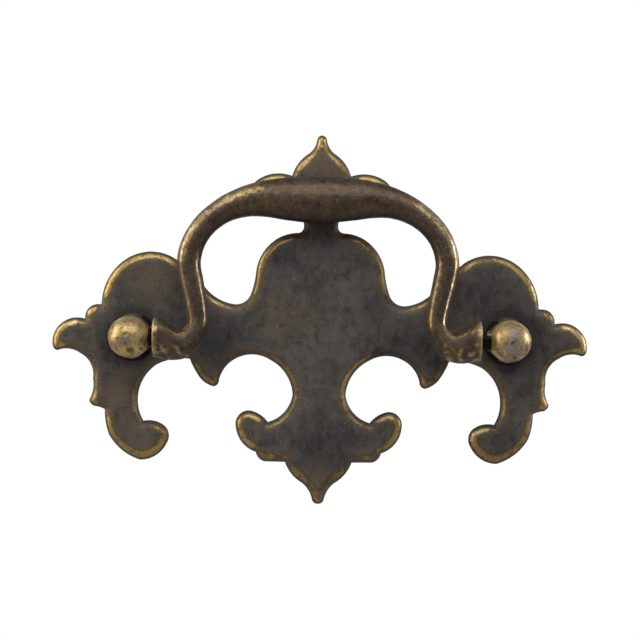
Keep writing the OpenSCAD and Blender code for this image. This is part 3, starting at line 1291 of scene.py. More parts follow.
    def face(self, skin: Skin, places: list[Point2], hole_r: float, front: bool) -> list[list[int]]:
        """Adds the front or back face, triangulated between the outline and the holes.

        Args:
            skin: The mesh in the making.
            places: The face's own places.
            hole_r: Radius of the two holes in this face.
            front: Whether it is the front face.

        Returns:
            The numbers of the points on the outline and on each hole's rim.
        """
        loops = [[tuple(p) for p in self.outline.loop]]
        loops += [self.hole_ring(side, hole_r) for side in Side]
        flat: list[Point2] = []
        edges: list[tuple[int, int]] = []
        for loop in loops:
            first = len(flat)
            flat += loop
            edges += [(first + k, first + (k + 1) % len(loop)) for k in range(len(loop))]
        flat += places
        made = delaunay_2d_cdt([Vector(p) for p in flat], edges, [], 1, 1e-5)
        spots, triangles, sources = made[0], made[2], made[3]
        rows = []
        for x, z in spots:
            inside = self.from_edge(x, z)
            height = self.face_height(x, z, inside) if front else 0.0
            rows.append((x, -height, z))
        numbers = skin.add(rows)
        for triangle in triangles:
            x = sum(spots[k][0] for k in triangle) / 3
            z = sum(spots[k][1] for k in triangle) / 3
            if math.hypot(abs(x) - self.post_x, z) > hole_r * math.cos(math.pi / self.hole_sides):
                skin.faces.append(tuple(numbers[k] for k in triangle))
        found = {source: numbers[k] for k, group in enumerate(sources) for source in group}
        rims = []
        first = 0
        for loop in loops:
            rims.append([found[first + k] for k in range(len(loop))])
            first += len(loop)
        return rims

    def build(self) -> bpy.types.Object:
        """Builds the whole plate.

        Returns:
            The plate's object, with its wear values.
        """
        skin = Skin()
        inner = self.grid_places(self.grid, self.edge_reach + 0.5 * self.grid)
        front = self.face(skin, self.ring_places() + inner, self.hole_r, True)
        back = self.face(skin, self.grid_places(self.back_grid, self.back_margin), self.sink_r, False)
        skin.bridge(front[0], back[0])
        for side, mouth, rim in zip(Side, front[1:], back[1:]):
            ring = [(x, -self.sink_depth, z) for x, z in self.hole_ring(side, self.hole_r)]
            throat = skin.add(ring)
            skin.bridge(mouth, throat)
            skin.bridge(throat, rim)
        piece = skin.to_object("backplate_cast", self.sharp_deg)
        self.put_wear(piece)
        return piece

    def put_wear(self, piece: bpy.types.Object) -> None:
        """Stores how rubbed, how dark and how warm each point is.

        Args:
            piece: The plate's object.
        """
        points = mesh_points(piece)
        x, z = points[:, 0], points[:, 2]
        found = [self.tree.find((point[0], point[2], 0.0)) for point in points]
        inside = np.array([hit[2] for hit in found])
        nearest = np.array([hit[1] for hit in found]) % len(self.outline.loop)
        exposed = self.outline.exposure()[nearest]
        front = smoothstep(0.4, 1.2, -points[:, 1])
        band, halo = self.rim.band(points, inside, exposed), self.rim.around(inside, exposed)

        # Hands have kept the patina near the rim thin and brown.
        warmth, shade = 0.62 * smoothstep(4.2, 0.9, inside) * front, np.ones(len(points))
        for patch in PATCHES:
            near = hump(np.hypot(x - patch.x, z - patch.z), 0.0, patch.radius)
            warmth = np.maximum(warmth, near * patch.warmth)
            shade *= 1 - near * patch.shade
            band *= 1 + near * patch.rub
        put_values(piece, WEAR, (np.maximum(band, halo) + 0.10 * warmth ** 2) * front)
        put_values(piece, WARMTH, warmth)

        # Painted shade: a darker ring round the posts, as their shadow on the plate, and a dark line along
        # the outline, where the steep edge lies in shade. The patches' darkening, dirt and painted shadow,
        # comes in here too.
        round_posts = np.hypot(np.abs(x) - self.post_x, z)
        shade = mix(0.18, 1.0, shade) * mix(0.46, 1.0, smoothstep(4.5, 8.5, round_posts))
        put_values(piece, TONE, shade * mix(0.3, 1.0, smoothstep(0.05, 0.42, inside)))

    def make(self) -> bpy.types.Object:
        """Builds, dresses and places the plate.

        Returns:
            The finished piece.
        """
        piece = self.build()
        piece.data.materials.append(PLATE_FINISH.material())
        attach(piece, Body.PLATE.value)
        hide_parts("backplate")
        return piece


class Along(Enum):
    """What a mark's limits on the bail are measured along."""

    X = "from the middle to the right, in millimetres"
    REACH = "from the middle outwards, in millimetres"
    HEIGHT = "up from the axis, in millimetres"
    OUTWARD = "from the section's inner side, at -1, to its outer side"
    RIGHTWARD = "from the section's left side, at -1, to its right side"
    FORWARD = "from the section's back, at -1, to its front"


class Zone(Enum):
    """Parts of the bail that a mark can keep to."""

    LEFT = "left half"
    RIGHT = "right half"
    FRONT = "front of the section"
    FACING = "what faces straight forwards"
    ARM = "flat-fronted arm, down to the elbow"
    LOW = "elbow and foot"


@dataclass(frozen=True)
class Mark:
    """One place on the bail that use has marked, with soft limits.

    Attributes:
        strength: How strong it is.
        zones: The parts that it keeps to.
        steps: Its limits: along what, where it starts and where it is full.
        peaks: Its middles: along what, where it is full and how far it reaches.
        uneven: How much its strength changes from place to place.
    """

    strength: float
    zones: tuple[Zone, ...] = ()
    steps: tuple[tuple[Along, float, float], ...] = ()
    peaks: tuple[tuple[Along, float, float], ...] = ()
    uneven: float = 0.0

    def on(self, measures: dict[Along | Zone, np.ndarray], uneven: np.ndarray) -> np.ndarray:
        """How strong the mark is at each point.

        Args:
            measures: The points' values along each measure, and their share of each zone.
            uneven: The unevenness at the points.

        Returns:
            The mark's strength at each point.
        """
        strength = self.strength + self.uneven * uneven
        for zone in self.zones:
            strength = strength * measures[zone]
        for along, low, high in self.steps:
            strength = strength * smoothstep(low, high, measures[along])
        for along, centre, width in self.peaks:
            strength = strength * hump(measures[along], centre, width)
        return strength


# Where the bail is rubbed. On the arms' ridges and shoulders the rubbed brass also paints in the lamps'
# highlights, and in the elbows' corners it is a painted glint. Where two of these marks meet, the stronger
# one counts.
BAIL_RUBS_AND_HIGHLIGHTS: dict[str, Mark] = {
    # The arms' left ridges: rubbed, with the left lamp's highlight painted in.
    "left arm's left ridge, rubbed, with painted highlight": Mark(
        0.36, (Zone.LEFT, Zone.ARM, Zone.FRONT),
        peaks=((Along.RIGHTWARD, -0.66, 0.24),),
    ),
    "right arm's left ridge, rubbed, with painted highlight": Mark(
        0.56, (Zone.RIGHT, Zone.ARM, Zone.FRONT),
        peaks=((Along.RIGHTWARD, -0.66, 0.34),),
    ),
    # The arms' right ridges: rubbed, with the right lamp's highlight painted in.
    "each arm's right ridge, rubbed, with painted highlight": Mark(0.46, (Zone.ARM, Zone.FRONT), peaks=((Along.RIGHTWARD, 0.66, 0.30),)),
    "that ridge's crest, rubbed, with painted highlight": Mark(
        0.80, (Zone.ARM, Zone.FRONT),
        peaks=((Along.RIGHTWARD, 0.66, 0.11),), uneven=0.5,
    ),
    # The shoulders: rubbed, with a painted highlight along their outer side.
    "left shoulder": Mark(
        0.74, (Zone.LEFT, Zone.FRONT),
        steps=((Along.HEIGHT, 12, 17), (Along.REACH, 8, 14)),
        peaks=((Along.OUTWARD, 0.60, 0.52),), uneven=0.28,
    ),
    "right shoulder": Mark(
        0.84, (Zone.RIGHT, Zone.FRONT),
        steps=((Along.HEIGHT, 12, 17), (Along.REACH, 15, 21)),
        peaks=((Along.OUTWARD, 0.68, 0.44),), uneven=0.28,
    ),
    "crease along the top of the foot": Mark(
        0.55, (Zone.LOW, Zone.FRONT),
        steps=((Along.REACH, 25.5, 26.5), (Along.REACH, 31, 30)), peaks=((Along.OUTWARD, 0.60, 0.12),),
    ),
    "top of the foot": Mark(
        0.24, (Zone.LOW, Zone.FRONT),
        steps=((Along.OUTWARD, 0.5, 0.7), (Along.REACH, 26, 27)),
    ),
    "facet of the foot": Mark(
        0.42, (Zone.LOW, Zone.FRONT),
        steps=((Along.REACH, 29.8, 30.8), (Along.OUTWARD, 0.15, 0.45)),
    ),
    "underside of the left elbow": Mark(
        0.30, (Zone.LEFT, Zone.FRONT),
        steps=((Along.REACH, 24, 26), (Along.HEIGHT, 4, 0), (Along.OUTWARD, 0.05, -0.3)), uneven=0.50,
    ),
    "underside of the right elbow": Mark(
        0.36, (Zone.RIGHT, Zone.FRONT),
        steps=((Along.REACH, 24, 26), (Along.HEIGHT, 4, 0), (Along.OUTWARD, 0.05, -0.3)), uneven=0.50,
    ),
    # A painted glint, as polished brass.
    "painted glint where arm meets foot": Mark(
        0.85, (Zone.FRONT,),
        steps=((Along.OUTWARD, 0.2, 0.6),), peaks=((Along.REACH, 26.6, 1.1), (Along.HEIGHT, 2.3, 1.5)),
    ),
}

# Where the grip is rubbed. These marks add up.
GRIP_RUBS: dict[str, Mark] = {
    "whole grip": Mark(
        0.14, (Zone.FACING,),
        steps=((Along.REACH, 22, 12), (Along.HEIGHT, 20, 24)), uneven=0.14,
    ),
    "left part of the grip": Mark(
        0.16, (Zone.FACING,),
        steps=((Along.HEIGHT, 20, 24),), peaks=((Along.X, -13, 6), (Along.OUTWARD, -0.15, 0.5)),
    ),
}

# Where the bail is darkened: dirt in the arms' front hollow, and painted shade to the right of its middle, on
# the undersides of the grip and upper arms, and along the grip's top.
BAIL_DIRT_AND_SHADE: dict[str, Mark] = {
    "arms' front hollow: dirt, and painted shade right of its middle": Mark(0.30, (Zone.ARM, Zone.FRONT), peaks=((Along.RIGHTWARD, 0.25, 0.35),)),
    # Painted shade on the undersides, with some dirt.
    "inner side": Mark(0.42, steps=((Along.OUTWARD, -0.45, -0.85), (Along.HEIGHT, 8, 14))),
    # Painted shade along the grip's upper edge and top.
    "edge of the grip's top": Mark(
        0.35, (Zone.FRONT,),
        steps=((Along.REACH, 20, 14),), peaks=((Along.OUTWARD, 0.92, 0.14),),
    ),
    "top of the grip": Mark(0.32, steps=((Along.OUTWARD, 0.35, 0.8), (Along.HEIGHT, 21, 24))),
}

# Where the bail's patina is warmer and lighter: thin and brown on the grip's front, where hands hold it, and
# painted light on the arms' front left of the middle, where the broad left lamp falls.
BAIL_WARMED: dict[str, Mark] = {
    "front of the grip": Mark(
        0.4,
        steps=((Along.HEIGHT, 14, 20), (Along.FORWARD, 0.2, 0.8), (Along.OUTWARD, -0.6, 0.2)),
    ),
    "arms' front, left of the middle: painted light": Mark(0.5, (Zone.ARM, Zone.FRONT), steps=((Along.RIGHTWARD, 0.3, -0.6),)),
}


@dataclass
class Bail:
    """The swan-neck bail, with a swollen grip, flat-fronted arms and flared feet.

    Attributes:
        axis_out: Height of the bail's axis in front of the plate.
        plate_t: Thickness of the plate.
        rise: Height of the grip's middle above the axis.
        grip_t: Thickness of the grip in the bail's plane.
        grip_depth: Its depth from front to back.
        arm_t: Thickness of the arms.
        arm_depth: Their depth.
        arm_square: How much squarer than an oval their section is, as a power.
        arm_ridge: How far out the ridges of their front stand, as a share of half the thickness.
        crown: Height of the front's middle, as a share of half the depth.
        crown_fall: How much lower the ridges lie.
        bevel: How steeply the sides fall away outside the ridges.
        ridge_soft: How softly the ridges are rounded.
        foot_x: Distance of the feet's end faces from the middle.
        foot_d: Diameter of the end faces.
        foot_round: Rounding of their edge.
        pintle_d: Diameter of the pintles.
        pintle_len: Their length.
        pintle_chamfer: Chamfer at their ends.
        pintle_rings: Distances of their rings from the end face.
        lean_gap: Gap between the raised grip and the plate that it leans on.
        shift: How far left the bail lies in its end play.
        steps: Number of rings from one row of the centre line to the next.
        sides: Number of points round a ring.
        lumps: Unevenness of the casting.
        sharp_deg: Edges that bend more than this stay sharp.
    """

    axis_out: float = 7.6
    plate_t: float = 2.6
    rise: float = 28.2
    grip_t: float = 9.4
    grip_depth: float = 7.0
    arm_t: float = 4.7
    arm_depth: float = 4.5
    arm_square: float = 0.6
    arm_ridge: float = 0.65
    crown: float = 0.98
    crown_fall: float = 0.06
    bevel: float = 2.2
    ridge_soft: float = 0.24
    foot_x: float = 32.75
    foot_d: float = 7.9
    foot_round: float = 0.35
    pintle_d: float = 3.6
    pintle_len: float = 4.7
    pintle_chamfer: float = 0.3
    pintle_rings: tuple[float, ...] = (0.0, 0.1, 0.7, 1.1, 1.6)
    lean_gap: float = 0.08
    shift: float = 0.5
    steps: int = 14
    sides: int = 80
    lumps: Layers = ((0.05, 4.0, 0.0), (0.022, 1.3, 5.3), (0.012, 0.6, 9.1))
    sharp_deg: float = 50.0

    def station(self, row: tuple[float, ...], side: Side) -> np.ndarray:
        """One station of the centre line, drawn out to its sizes.

        Args:
            row: A row of BAIL_LINE.
            side: The half of the bail.

        Returns:
            X, Z, thickness, depth, power of the section, how faceted its front is, and flare.
        """
        x, z, swell, flare, flat = row
        thick = self.arm_t + (self.grip_t - self.arm_t) * swell + (self.foot_d - self.arm_t) * flare
        deep = self.arm_depth + (self.grip_depth - self.arm_depth) * swell
        deep += (self.foot_d - self.arm_depth) * flare
        x *= side.value * (self.foot_x - self.foot_round) / BAIL_LINE[-1][0]
        z *= self.rise / BAIL_LINE[0][1]
        return np.array([x, z, thick, deep, 2 + self.arm_square * flat, flat, flare])

    def ring(self, s: np.ndarray, way: np.ndarray) -> np.ndarray:
        """A ring of points round the centre line.

        Args:
            s: The station, as station() gives it.
            way: The line's direction there.

        Returns:
            One row per point: its place, how far it is across and to the front of the section, and how
            flat-fronted the section is.
        """
        line = way / np.linalg.norm(way)
        turned = line * (1 - s[6]) + np.array([1.0, 0.0]) * s[6]
        out = np.array([-turned[1], turned[0]]) / np.linalg.norm(turned)
        angles = 2 * np.pi * (np.arange(self.sides) + 0.5) / self.sides
        u = np.sign(np.cos(angles)) * np.abs(np.cos(angles)) ** (2 / s[4])
        v = np.sign(np.sin(angles)) * np.abs(np.sin(angles)) ** (2 / s[4])
        crown = self.crown - self.crown_fall * (u / self.arm_ridge) ** 2
        bevel = self.crown - self.crown_fall - (np.abs(u) - self.arm_ridge) * self.bevel
        faceted = self.softly_lower(self.softly_lower(crown, bevel), v)
        front = np.where(v > 0, v + (np.maximum(faceted, 0) - v) * s[5], v)
        across = u * s[2] / 2
        places = (s[0] + out[0] * across, -front * s[3] / 2, s[1] + out[1] * across)
        return np.stack([*places, u, v, np.full(len(u), s[5])], axis=1)

    def softly_lower(self, first: np.ndarray, second: np.ndarray) -> np.ndarray:
        """The lower of two heights, rounded where they cross."""
        return (first + second - np.sqrt((first - second) ** 2 + self.ridge_soft**2)) / 2

    def rings(self) -> list[np.ndarray]:
        """All rings of the bail, from the left foot's end face to the right one's.

        Returns:
            The rings, as ring() gives them.
        """
        line = [self.station(row, Side.LEFT) for row in reversed(BAIL_LINE[1:])]
        line += [self.station(row, Side.RIGHT) for row in BAIL_LINE]
        last = len(line) - 1
        made = []
        for k in range(last):
            near = [line[i] for i in (max(0, k - 1), k, k + 1, min(last, k + 2))]
            for step in range(self.steps):
                here, way = along_line(*near, step / self.steps)
                made.append((here, way[:2]))
        square = np.array([1.0, 0.0])
        made[0] = (line[0], square)
        made.append((line[last], square))
        return [self.ring(here, way) for here, way in made]

    def end_rings(self, side: Side) -> list[np.ndarray]:
        """The rings of one end face's rounding and its pintle, outwards.

        Args:
            side: The foot.

        Returns:
            The rings, without the last cap.
        """
        rings = []
        for turn in (30, 60, 90):
            a = math.radians(turn)
            d = self.foot_d - 2 * self.foot_round * (1 - math.cos(a))
            rings.append((self.foot_x - self.foot_round * (1 - math.sin(a)), d))
        rings += [(self.foot_x + reach, self.pintle_d) for reach in self.pintle_rings]
        tip, chamfer = self.foot_x + self.pintle_len, self.pintle_chamfer
        rings += [(tip - chamfer, self.pintle_d), (tip, self.pintle_d - 2 * chamfer)]
        square = np.array([1.0, 0.0])
        return [self.ring(np.array([side.value * x, 0.0, d, d, 2.0, 0.0, 1.0]), square) for x, d in rings]

    def lean(self) -> float:
        """The angle at which the grip comes to lie on the plate, in radians.

        Returns:
            The angle from upright, back towards the plate.
        """
        tilt = 0.0
        for _ in range(4):  # The reach changes little with the tilt, so that this settles at once.
            reach = math.hypot(math.cos(tilt) * self.grip_depth, math.sin(tilt) * self.grip_t) / 2
            tilt = math.asin((self.axis_out - self.lean_gap - reach) / self.rise)
        return tilt

    def build(self) -> bpy.types.Object:
        """Builds the bail in its raised rest position.

        Returns:
            The bail's object, with its wear values.
        """
        left, right = self.end_rings(Side.LEFT), self.end_rings(Side.RIGHT)
        rings = list(reversed(left)) + self.rings() + right
        skin = Skin()
        numbers = [skin.add(ring[:, :3]) for ring in rings]
        for a, b in zip(numbers, numbers[1:]):
            skin.bridge(a, b)
        reach = self.foot_x + self.pintle_len
        skin.cap(numbers[0], (-reach, 0.0, 0.0))
        skin.cap(numbers[-1], (reach, 0.0, 0.0))
        rows = np.vstack(rings + [np.zeros((2, 6))])
        points = self.cast_points(np.array(skin.points), rings)
        tilt = Matrix.Rotation(-self.lean(), 3, "X")
        place = np.array([-self.shift, -(self.plate_t + self.axis_out), 0.0])
        skin.points = [tuple(row) for row in points @ np.array(tilt).T + place]
        piece = skin.to_object("bail_cast", self.sharp_deg)
        self.put_wear(piece, points, rows)
        return piece

    def cast_points(self, points: np.ndarray, rings: list[np.ndarray]) -> np.ndarray:
        """Moves the points outwards or inwards by the casting's unevenness.

        Args:
            points: The rings' points and the middles of the two caps.
            rings: The rings.

        Returns:
            The moved points. The end faces and pintles are turned, and stay as they are.
        """
        cast = smoothstep(self.foot_x - 0.2, self.foot_x - 1.5, np.abs(points[:, 0]))
        lumps = np.array([lumpiness(*p, self.lumps) for p in points])
        middles = [np.repeat(ring[:, :3].mean(0)[None], len(ring), 0) for ring in rings]
        away = points - np.vstack(middles + [np.zeros((2, 3))])
        away /= np.maximum(np.linalg.norm(away, axis=1), 1e-6)[:, None]
        return points + away * (lumps * cast)[:, None]

    def measures(self, points: np.ndarray, rows: np.ndarray) -> dict[Along | Zone, np.ndarray]:
        """What the limits of the bail's marks are measured along.

        Args:
            points: The points in the bail's own upright plane.
            rows: Their rows, as ring() gives them.

        Returns:
            The points' values along each measure, and their share of each zone.
        """
        u, v, flat = rows[:, 3], rows[:, 4], rows[:, 5]
        x, z = np.abs(points[:, 0]), points[:, 2]
        arm = smoothstep(0.5, 0.95, flat) * smoothstep(28.5, 27, x)
        return {
            Along.X: points[:, 0],
            Along.REACH: x,
            Along.HEIGHT: z,
            Along.OUTWARD: u,
            Along.RIGHTWARD: u * np.sign(points[:, 0]),
            Along.FORWARD: v,
            Zone.LEFT: points[:, 0] < 0,
            Zone.RIGHT: points[:, 0] > 0,
            Zone.FRONT: smoothstep(-0.1, 0.25, v),
            Zone.FACING: smoothstep(-0.2, 0.7, v),
            Zone.ARM: arm * np.maximum(smoothstep(0.5, 3.5, z), u > 0),
            Zone.LOW: smoothstep(6, 2, z),
        }

    def rim_wear(self, x: np.ndarray, u: np.ndarray) -> np.ndarray:
        """How rubbed the rims of the feet's end faces are.

        Args:
            x: The points' distance from the middle.
            u: How far out on the section they lie.

        Returns:
            The wear at each point.
        """
        end = self.foot_x
        rim = smoothstep(end - 1.3, end - 0.9, x) * smoothstep(end + 0.1, end + 0.02, x)
        return rim * (0.46 + 0.14 * smoothstep(0.0, 0.5, u) + 0.25 * smoothstep(end - 0.6, end - 0.3, x))

    def put_wear(self, piece: bpy.types.Object, points: np.ndarray, rows: np.ndarray) -> None:
        """Stores how rubbed, how dark and how warm each point is.

        Args:
            piece: The bail's object.
            points: The points in the bail's own upright plane.
            rows: Their rows, as ring() gives them.
        """
        measures = self.measures(points, rows)
        uneven = np.array([unevenness(*row, 1.1, 7.7) for row in points])
        x, z, u, v = (measures[way] for way in (Along.REACH, Along.HEIGHT, Along.OUTWARD, Along.FORWARD))
        worn = [mark.on(measures, uneven) for mark in BAIL_RUBS_AND_HIGHLIGHTS.values()]
        worn.append(sum(mark.on(measures, uneven) for mark in GRIP_RUBS.values()))
        worn.append(self.rim_wear(x, u))
        dirt_and_shade = np.maximum.reduce([mark.on(measures, uneven) for mark in BAIL_DIRT_AND_SHADE.values()])

        # The pintles are painted dark, as the shade in the narrow gap between foot and ball, but for a
        # painted glint on top beside the ball.
        pintle = smoothstep(self.foot_x + 0.02, self.foot_x + 0.1, x)
        glint = smoothstep(0.7, 1.1, z) * smoothstep(-0.4, 0.1, v)
        glint *= smoothstep(self.foot_x + 0.8, self.foot_x + 1.2, x)
        wear = np.maximum(np.maximum.reduce(worn) * (1 - pintle), 0.8 * glint)
        put_values(piece, WEAR, np.clip(wear, 0, 1))
        put_values(piece, TONE, np.maximum((1 - dirt_and_shade) * (1 - pintle), glint))
        warm_share = np.maximum.reduce([mark.on(measures, uneven) for mark in BAIL_WARMED.values()])
        put_values(piece, WARMTH, warm_share)

    def make(self) -> bpy.types.Object:
        """Builds, dresses and places the bail.

        Returns:
            The finished piece.
        """
        piece = self.build()
        piece.data.materials.append(BAIL_FINISH.material())
        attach(piece, Body.BAIL.value)
        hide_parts("bail")
        return piece


@dataclass
class Post:
    """A turned post: riveted spigot, collar, neck and ball, with a side bore and a threaded hole.

    Attributes:
        side: Left or right post.
        post_x: Distance of its axis from the middle.
        plate_t: Thickness of the plate.
        axis_out: Height of the ball's centre in front of the plate.
        ball_d: Diameter of the ball.
        collar_d: Diameter of the collar.
        collar_t: Its thickness.
        collar_round: Rounding of its front edge.
        neck_d: Diameter of the neck.
        fillet: Rounding between the neck and the collar.
        spigot_d: Diameter of the spigot.
        rivet_d: Diameter of the riveted end.
        rivet_t: Its depth.
        thread_d: Core diameter of the threaded hole.
        thread_rise: Depth of the thread's grooves.
        thread_pitch: Distance between its turns.
        thread_steps: Number of rings in one pitch.
        thread_depth: Depth of the hole.
        bore_d: Diameter of the side bore.
        bore_end: Distance of the bore's bottom from the post's axis.
        bore_sides: Number of points round the bore.
        lip: Height of the lip that wear has left round the bail's bore.
        grey_reflection: Middle and half sizes of the grey, little-rubbed place on the ball's front, which
            also paints in the ball's reflection of the dim room in front.
        dimple: Depth of the turning mark in the ball's front.
        dimple_at: Its place on the ball's front, from the ball's middle.
        lumps: Unevenness of the worn ball.
        swell: How much larger wear and dirt have left the ball on the whole.
        sides: Number of points round the post.
        ball_rings: Number of rings on the ball.
        sharp_deg: Edges that bend more than this stay sharp.
    """

    side: Side
    post_x: float = 38.0
    plate_t: float = 2.6
    axis_out: float = 7.6
    ball_d: float = 8.4
    collar_d: float = 9.8
    collar_t: float = 1.0
    collar_round: float = 0.5
    neck_d: float = 6.4
    fillet: float = 0.35
    spigot_d: float = 6.6
    rivet_d: float = 8.0
    rivet_t: float = 0.8
    thread_d: float = 3.3
    thread_rise: float = 0.3
    thread_pitch: float = 0.7
    thread_steps: int = 8
    thread_depth: float = 7.4
    bore_d: float = 3.7
    bore_end: float = -0.45
    bore_sides: int = 64
    lip: float = 0.1
    grey_reflection: tuple[float, float, float, float] = (0.7, 0.0, 1.5, 2.6)
    dimple: float = 0.0
    dimple_at: Point2 = (-0.3, 0.5)
    lumps: Layers = ((0.035, 2.6, 4.4), (0.015, 1.0, 8.2))
    swell: float = 0.01
    sides: int = 96
    ball_rings: int = 56
    sharp_deg: float = 35.0

    def profile(self) -> list[Point2]:
        """Half section from the ball's front to the mouth of the threaded hole.

        Returns:
            Pairs of radius and height over the plate's back.
        """
        centre, ball_r, neck_r = self.plate_t + self.axis_out, self.ball_d / 2, self.neck_d / 2
        last = 180 - math.degrees(math.asin(neck_r / ball_r))
        rows = arc_points((0.0, centre), ball_r, np.linspace(2.0, last, self.ball_rings))
        front, collar_r = self.plate_t + self.collar_t, self.collar_d / 2
        fillet, edge = self.fillet, self.collar_round
        rows.append((neck_r, front + fillet + 0.4))
        rows += arc_points((neck_r + fillet, front + fillet), fillet, (270, 240, 210, 180))
        rows += arc_points((collar_r - edge, front - edge), edge, (0, 18, 36, 54, 72, 90))
        spigot_r, rivet_r = self.spigot_d / 2, self.rivet_d / 2
        rows += [(collar_r, self.plate_t), (spigot_r, self.plate_t), (spigot_r, self.rivet_t)]
        rows += [(rivet_r, 0.06), (rivet_r - 0.1, 0.0)]
        mouth_r = self.thread_d / 2 + self.thread_rise + 0.15
        rows += [(r, 0.0) for r in np.linspace(rivet_r - 0.5, mouth_r, 6)]
        return rows

    def thread_radius(self, turn: float, height: float) -> float:
        """Radius of the threaded hole at one turn and height.

        Args:
            turn: The turn round the post, in radians.
            height: The height over the plate's back.

        Returns:
            The radius, between the thread's core and the bottom of its grooves.
        """
        phase = (height / self.thread_pitch - turn / (2 * math.pi)) % 1.0
        groove = 1 - abs(2 * phase - 1)
        return self.thread_d / 2 + self.thread_rise * groove

    def bail_bore(self) -> bpy.types.Object:
        """The cutter of the side bore that takes the bail's pintle.

        Returns:
            The cutter's object.
        """
        skin = Skin()
        y, bore_r = -(self.plate_t + self.axis_out), self.bore_d / 2
        circle = [(y + bore_r * math.cos(t), bore_r * math.sin(t)) for t in round_turns(self.bore_sides)]
        ends = [self.side.value * (self.post_x - reach) for reach in (self.bore_end, self.ball_d)]
        rings = [skin.add([(x, *point) for point in circle]) for x in ends]
        skin.bridge(*rings)
        for ring, x in zip(rings, ends):
            skin.cap(ring, (x, y, 0.0))
        return skin.to_object("bore_cutter", self.sharp_deg)

    def build(self) -> bpy.types.Object:
        """Builds the post.

        Returns:
            The post's object, with its wear values.
        """
        skin = Skin()
        turns = round_turns(self.sides)
        x0 = self.side.value * self.post_x

        def place(radius: float, turn: float, height: float) -> Point3:
            """A point of the post at a radius, turn and height."""
            return (x0 + radius * math.cos(turn), -height, radius * math.sin(turn))

        rings = [skin.add([place(r, t, h) for t in turns]) for r, h in self.profile()]
        depth = 0.08
        while depth < self.thread_depth:
            rings.append(skin.add([place(self.thread_radius(t, depth), t, depth) for t in turns]))
            depth += self.thread_pitch / self.thread_steps
        rings.append(skin.add([place(self.thread_d / 2, t, self.thread_depth) for t in turns]))
        for a, b in zip(rings, rings[1:]):
            skin.bridge(a, b)
        front = self.plate_t + self.axis_out + self.ball_d / 2
        skin.cap(rings[0], (x0, -front, 0.0))
        skin.cap(rings[-1], (x0, -self.thread_depth, 0.0))
        skin.points = [self.worn_place(point) for point in skin.points]
        piece = skin.to_object(f"post_{self.side.name.lower()}_turned", self.sharp_deg)
        self.cut(piece, self.bail_bore())
        self.put_wear(piece)
        return piece

    def worn_place(self, point: Point3) -> Point3:
        """Moves a point of the ball by its wear and its turning mark.

        Args:
            point: The point as turned.

        Returns:
            The point's place on the worn ball, or the same point elsewhere on the post.
        """
        centre = Vector((self.side.value * self.post_x, -(self.plate_t + self.axis_out), 0.0))
        away = Vector(point) - centre
        if abs(away.length - self.ball_d / 2) > 0.01:
            return point
        lumps = lumpiness(*point, self.lumps) + self.swell
        round_bore = math.hypot(away.y, away.z) if away.x * self.side.value < 0 else self.ball_d
        lumps += self.lip * float(hump(round_bore, 1.9, 0.4))
        across = math.hypot(away.x - self.dimple_at[0], away.z - self.dimple_at[1])
        mark = self.dimple * float(smoothstep(0.6, 0.1, across)) if away.y < 0 else 0.0
        return tuple(centre + away * (1 + (lumps - mark) / away.length))

    def cut(self, piece: bpy.types.Object, cutter: bpy.types.Object) -> None:
        """Takes one solid out of another and removes the cutter.

        Args:
            piece: What is cut.
            cutter: The solid that is taken out.
        """
        modifier = piece.modifiers.new("bore", "BOOLEAN")
        modifier.operation = "DIFFERENCE"
        modifier.object = cutter
        modifier.solver = "EXACT"
        shaped = piece.evaluated_get(bpy.context.evaluated_depsgraph_get())
        mesh = bpy.data.meshes.new_from_object(shaped)
        piece.modifiers.clear()
        piece.data = mesh
        mesh.set_sharp_from_angle(angle=math.radians(self.sharp_deg))
        bpy.data.objects.remove(cutter)

    def put_wear(self, piece: bpy.types.Object) -> None:
        """Stores how rubbed, how dark and how warm each point is: the ball is rubbed most, the neck and bores
        least.

        Args:
            piece: The post's object.
        """
        points = mesh_points(piece)
        height = -points[:, 1]
        x, z = points[:, 0] - self.side.value * self.post_x, points[:, 2]
        radius, forward = np.hypot(x, z), height - (self.plate_t + self.axis_out)
        on_ball = np.hypot(radius, forward) > self.ball_d / 2 - 0.4
        in_bore = (x * self.side.value < -3.2) * (np.abs(z) < 2.6)
        ball = self.ball_wear(points, x, z, forward)
        put_values(piece, WEAR, np.where(on_ball, np.where(in_bore, 0.72, ball), 0.0))

        # Painted shade and dark blotches: the ball is darker towards its back and has darker blotches on its
        # lower half; the collar's front is painted nearly black round the ball as its shadow, with a lighter
        # painted arc along its top and a lighter side; the fillet, the bore and the threaded hole are painted
        # dark, and only the neck and the rivet stay light.
        lower_blotches = np.array([unevenness(*row, 1.2, 2.3) for row in points]) * smoothstep(1.5, -0.5, z)
        ball_tone = mix(0.55, 1.0, smoothstep(-3.0, -0.6, forward)) * (1 - 0.6 * smoothstep(0.1, 0.5, lower_blotches))
        on_neck = (radius < self.neck_d / 2 + 0.1) * (height > self.plate_t + self.collar_t - 0.1)
        on_collar = (radius > self.collar_d / 2 - self.collar_round) * (height > self.plate_t + 0.3)
        collar_tone = 0.04 + 0.2 * smoothstep(3.7, 4.6, z)
        collar_tone += 0.35 * smoothstep(0.7, 0.4, height - self.plate_t)
        tone = np.where(on_ball, ball_tone, mix(0.05, 0.8, on_neck))
        tone = np.where(on_collar, collar_tone, tone)
        put_values(piece, TONE, np.where(height < self.rivet_t, 0.9, tone))
        # Painted light: the right side of each ball is warmer and lighter, the side the strong right lamp
        # falls on.
        put_values(piece, WARMTH, 0.7 * smoothstep(0.3, 2.0, x) * on_ball)

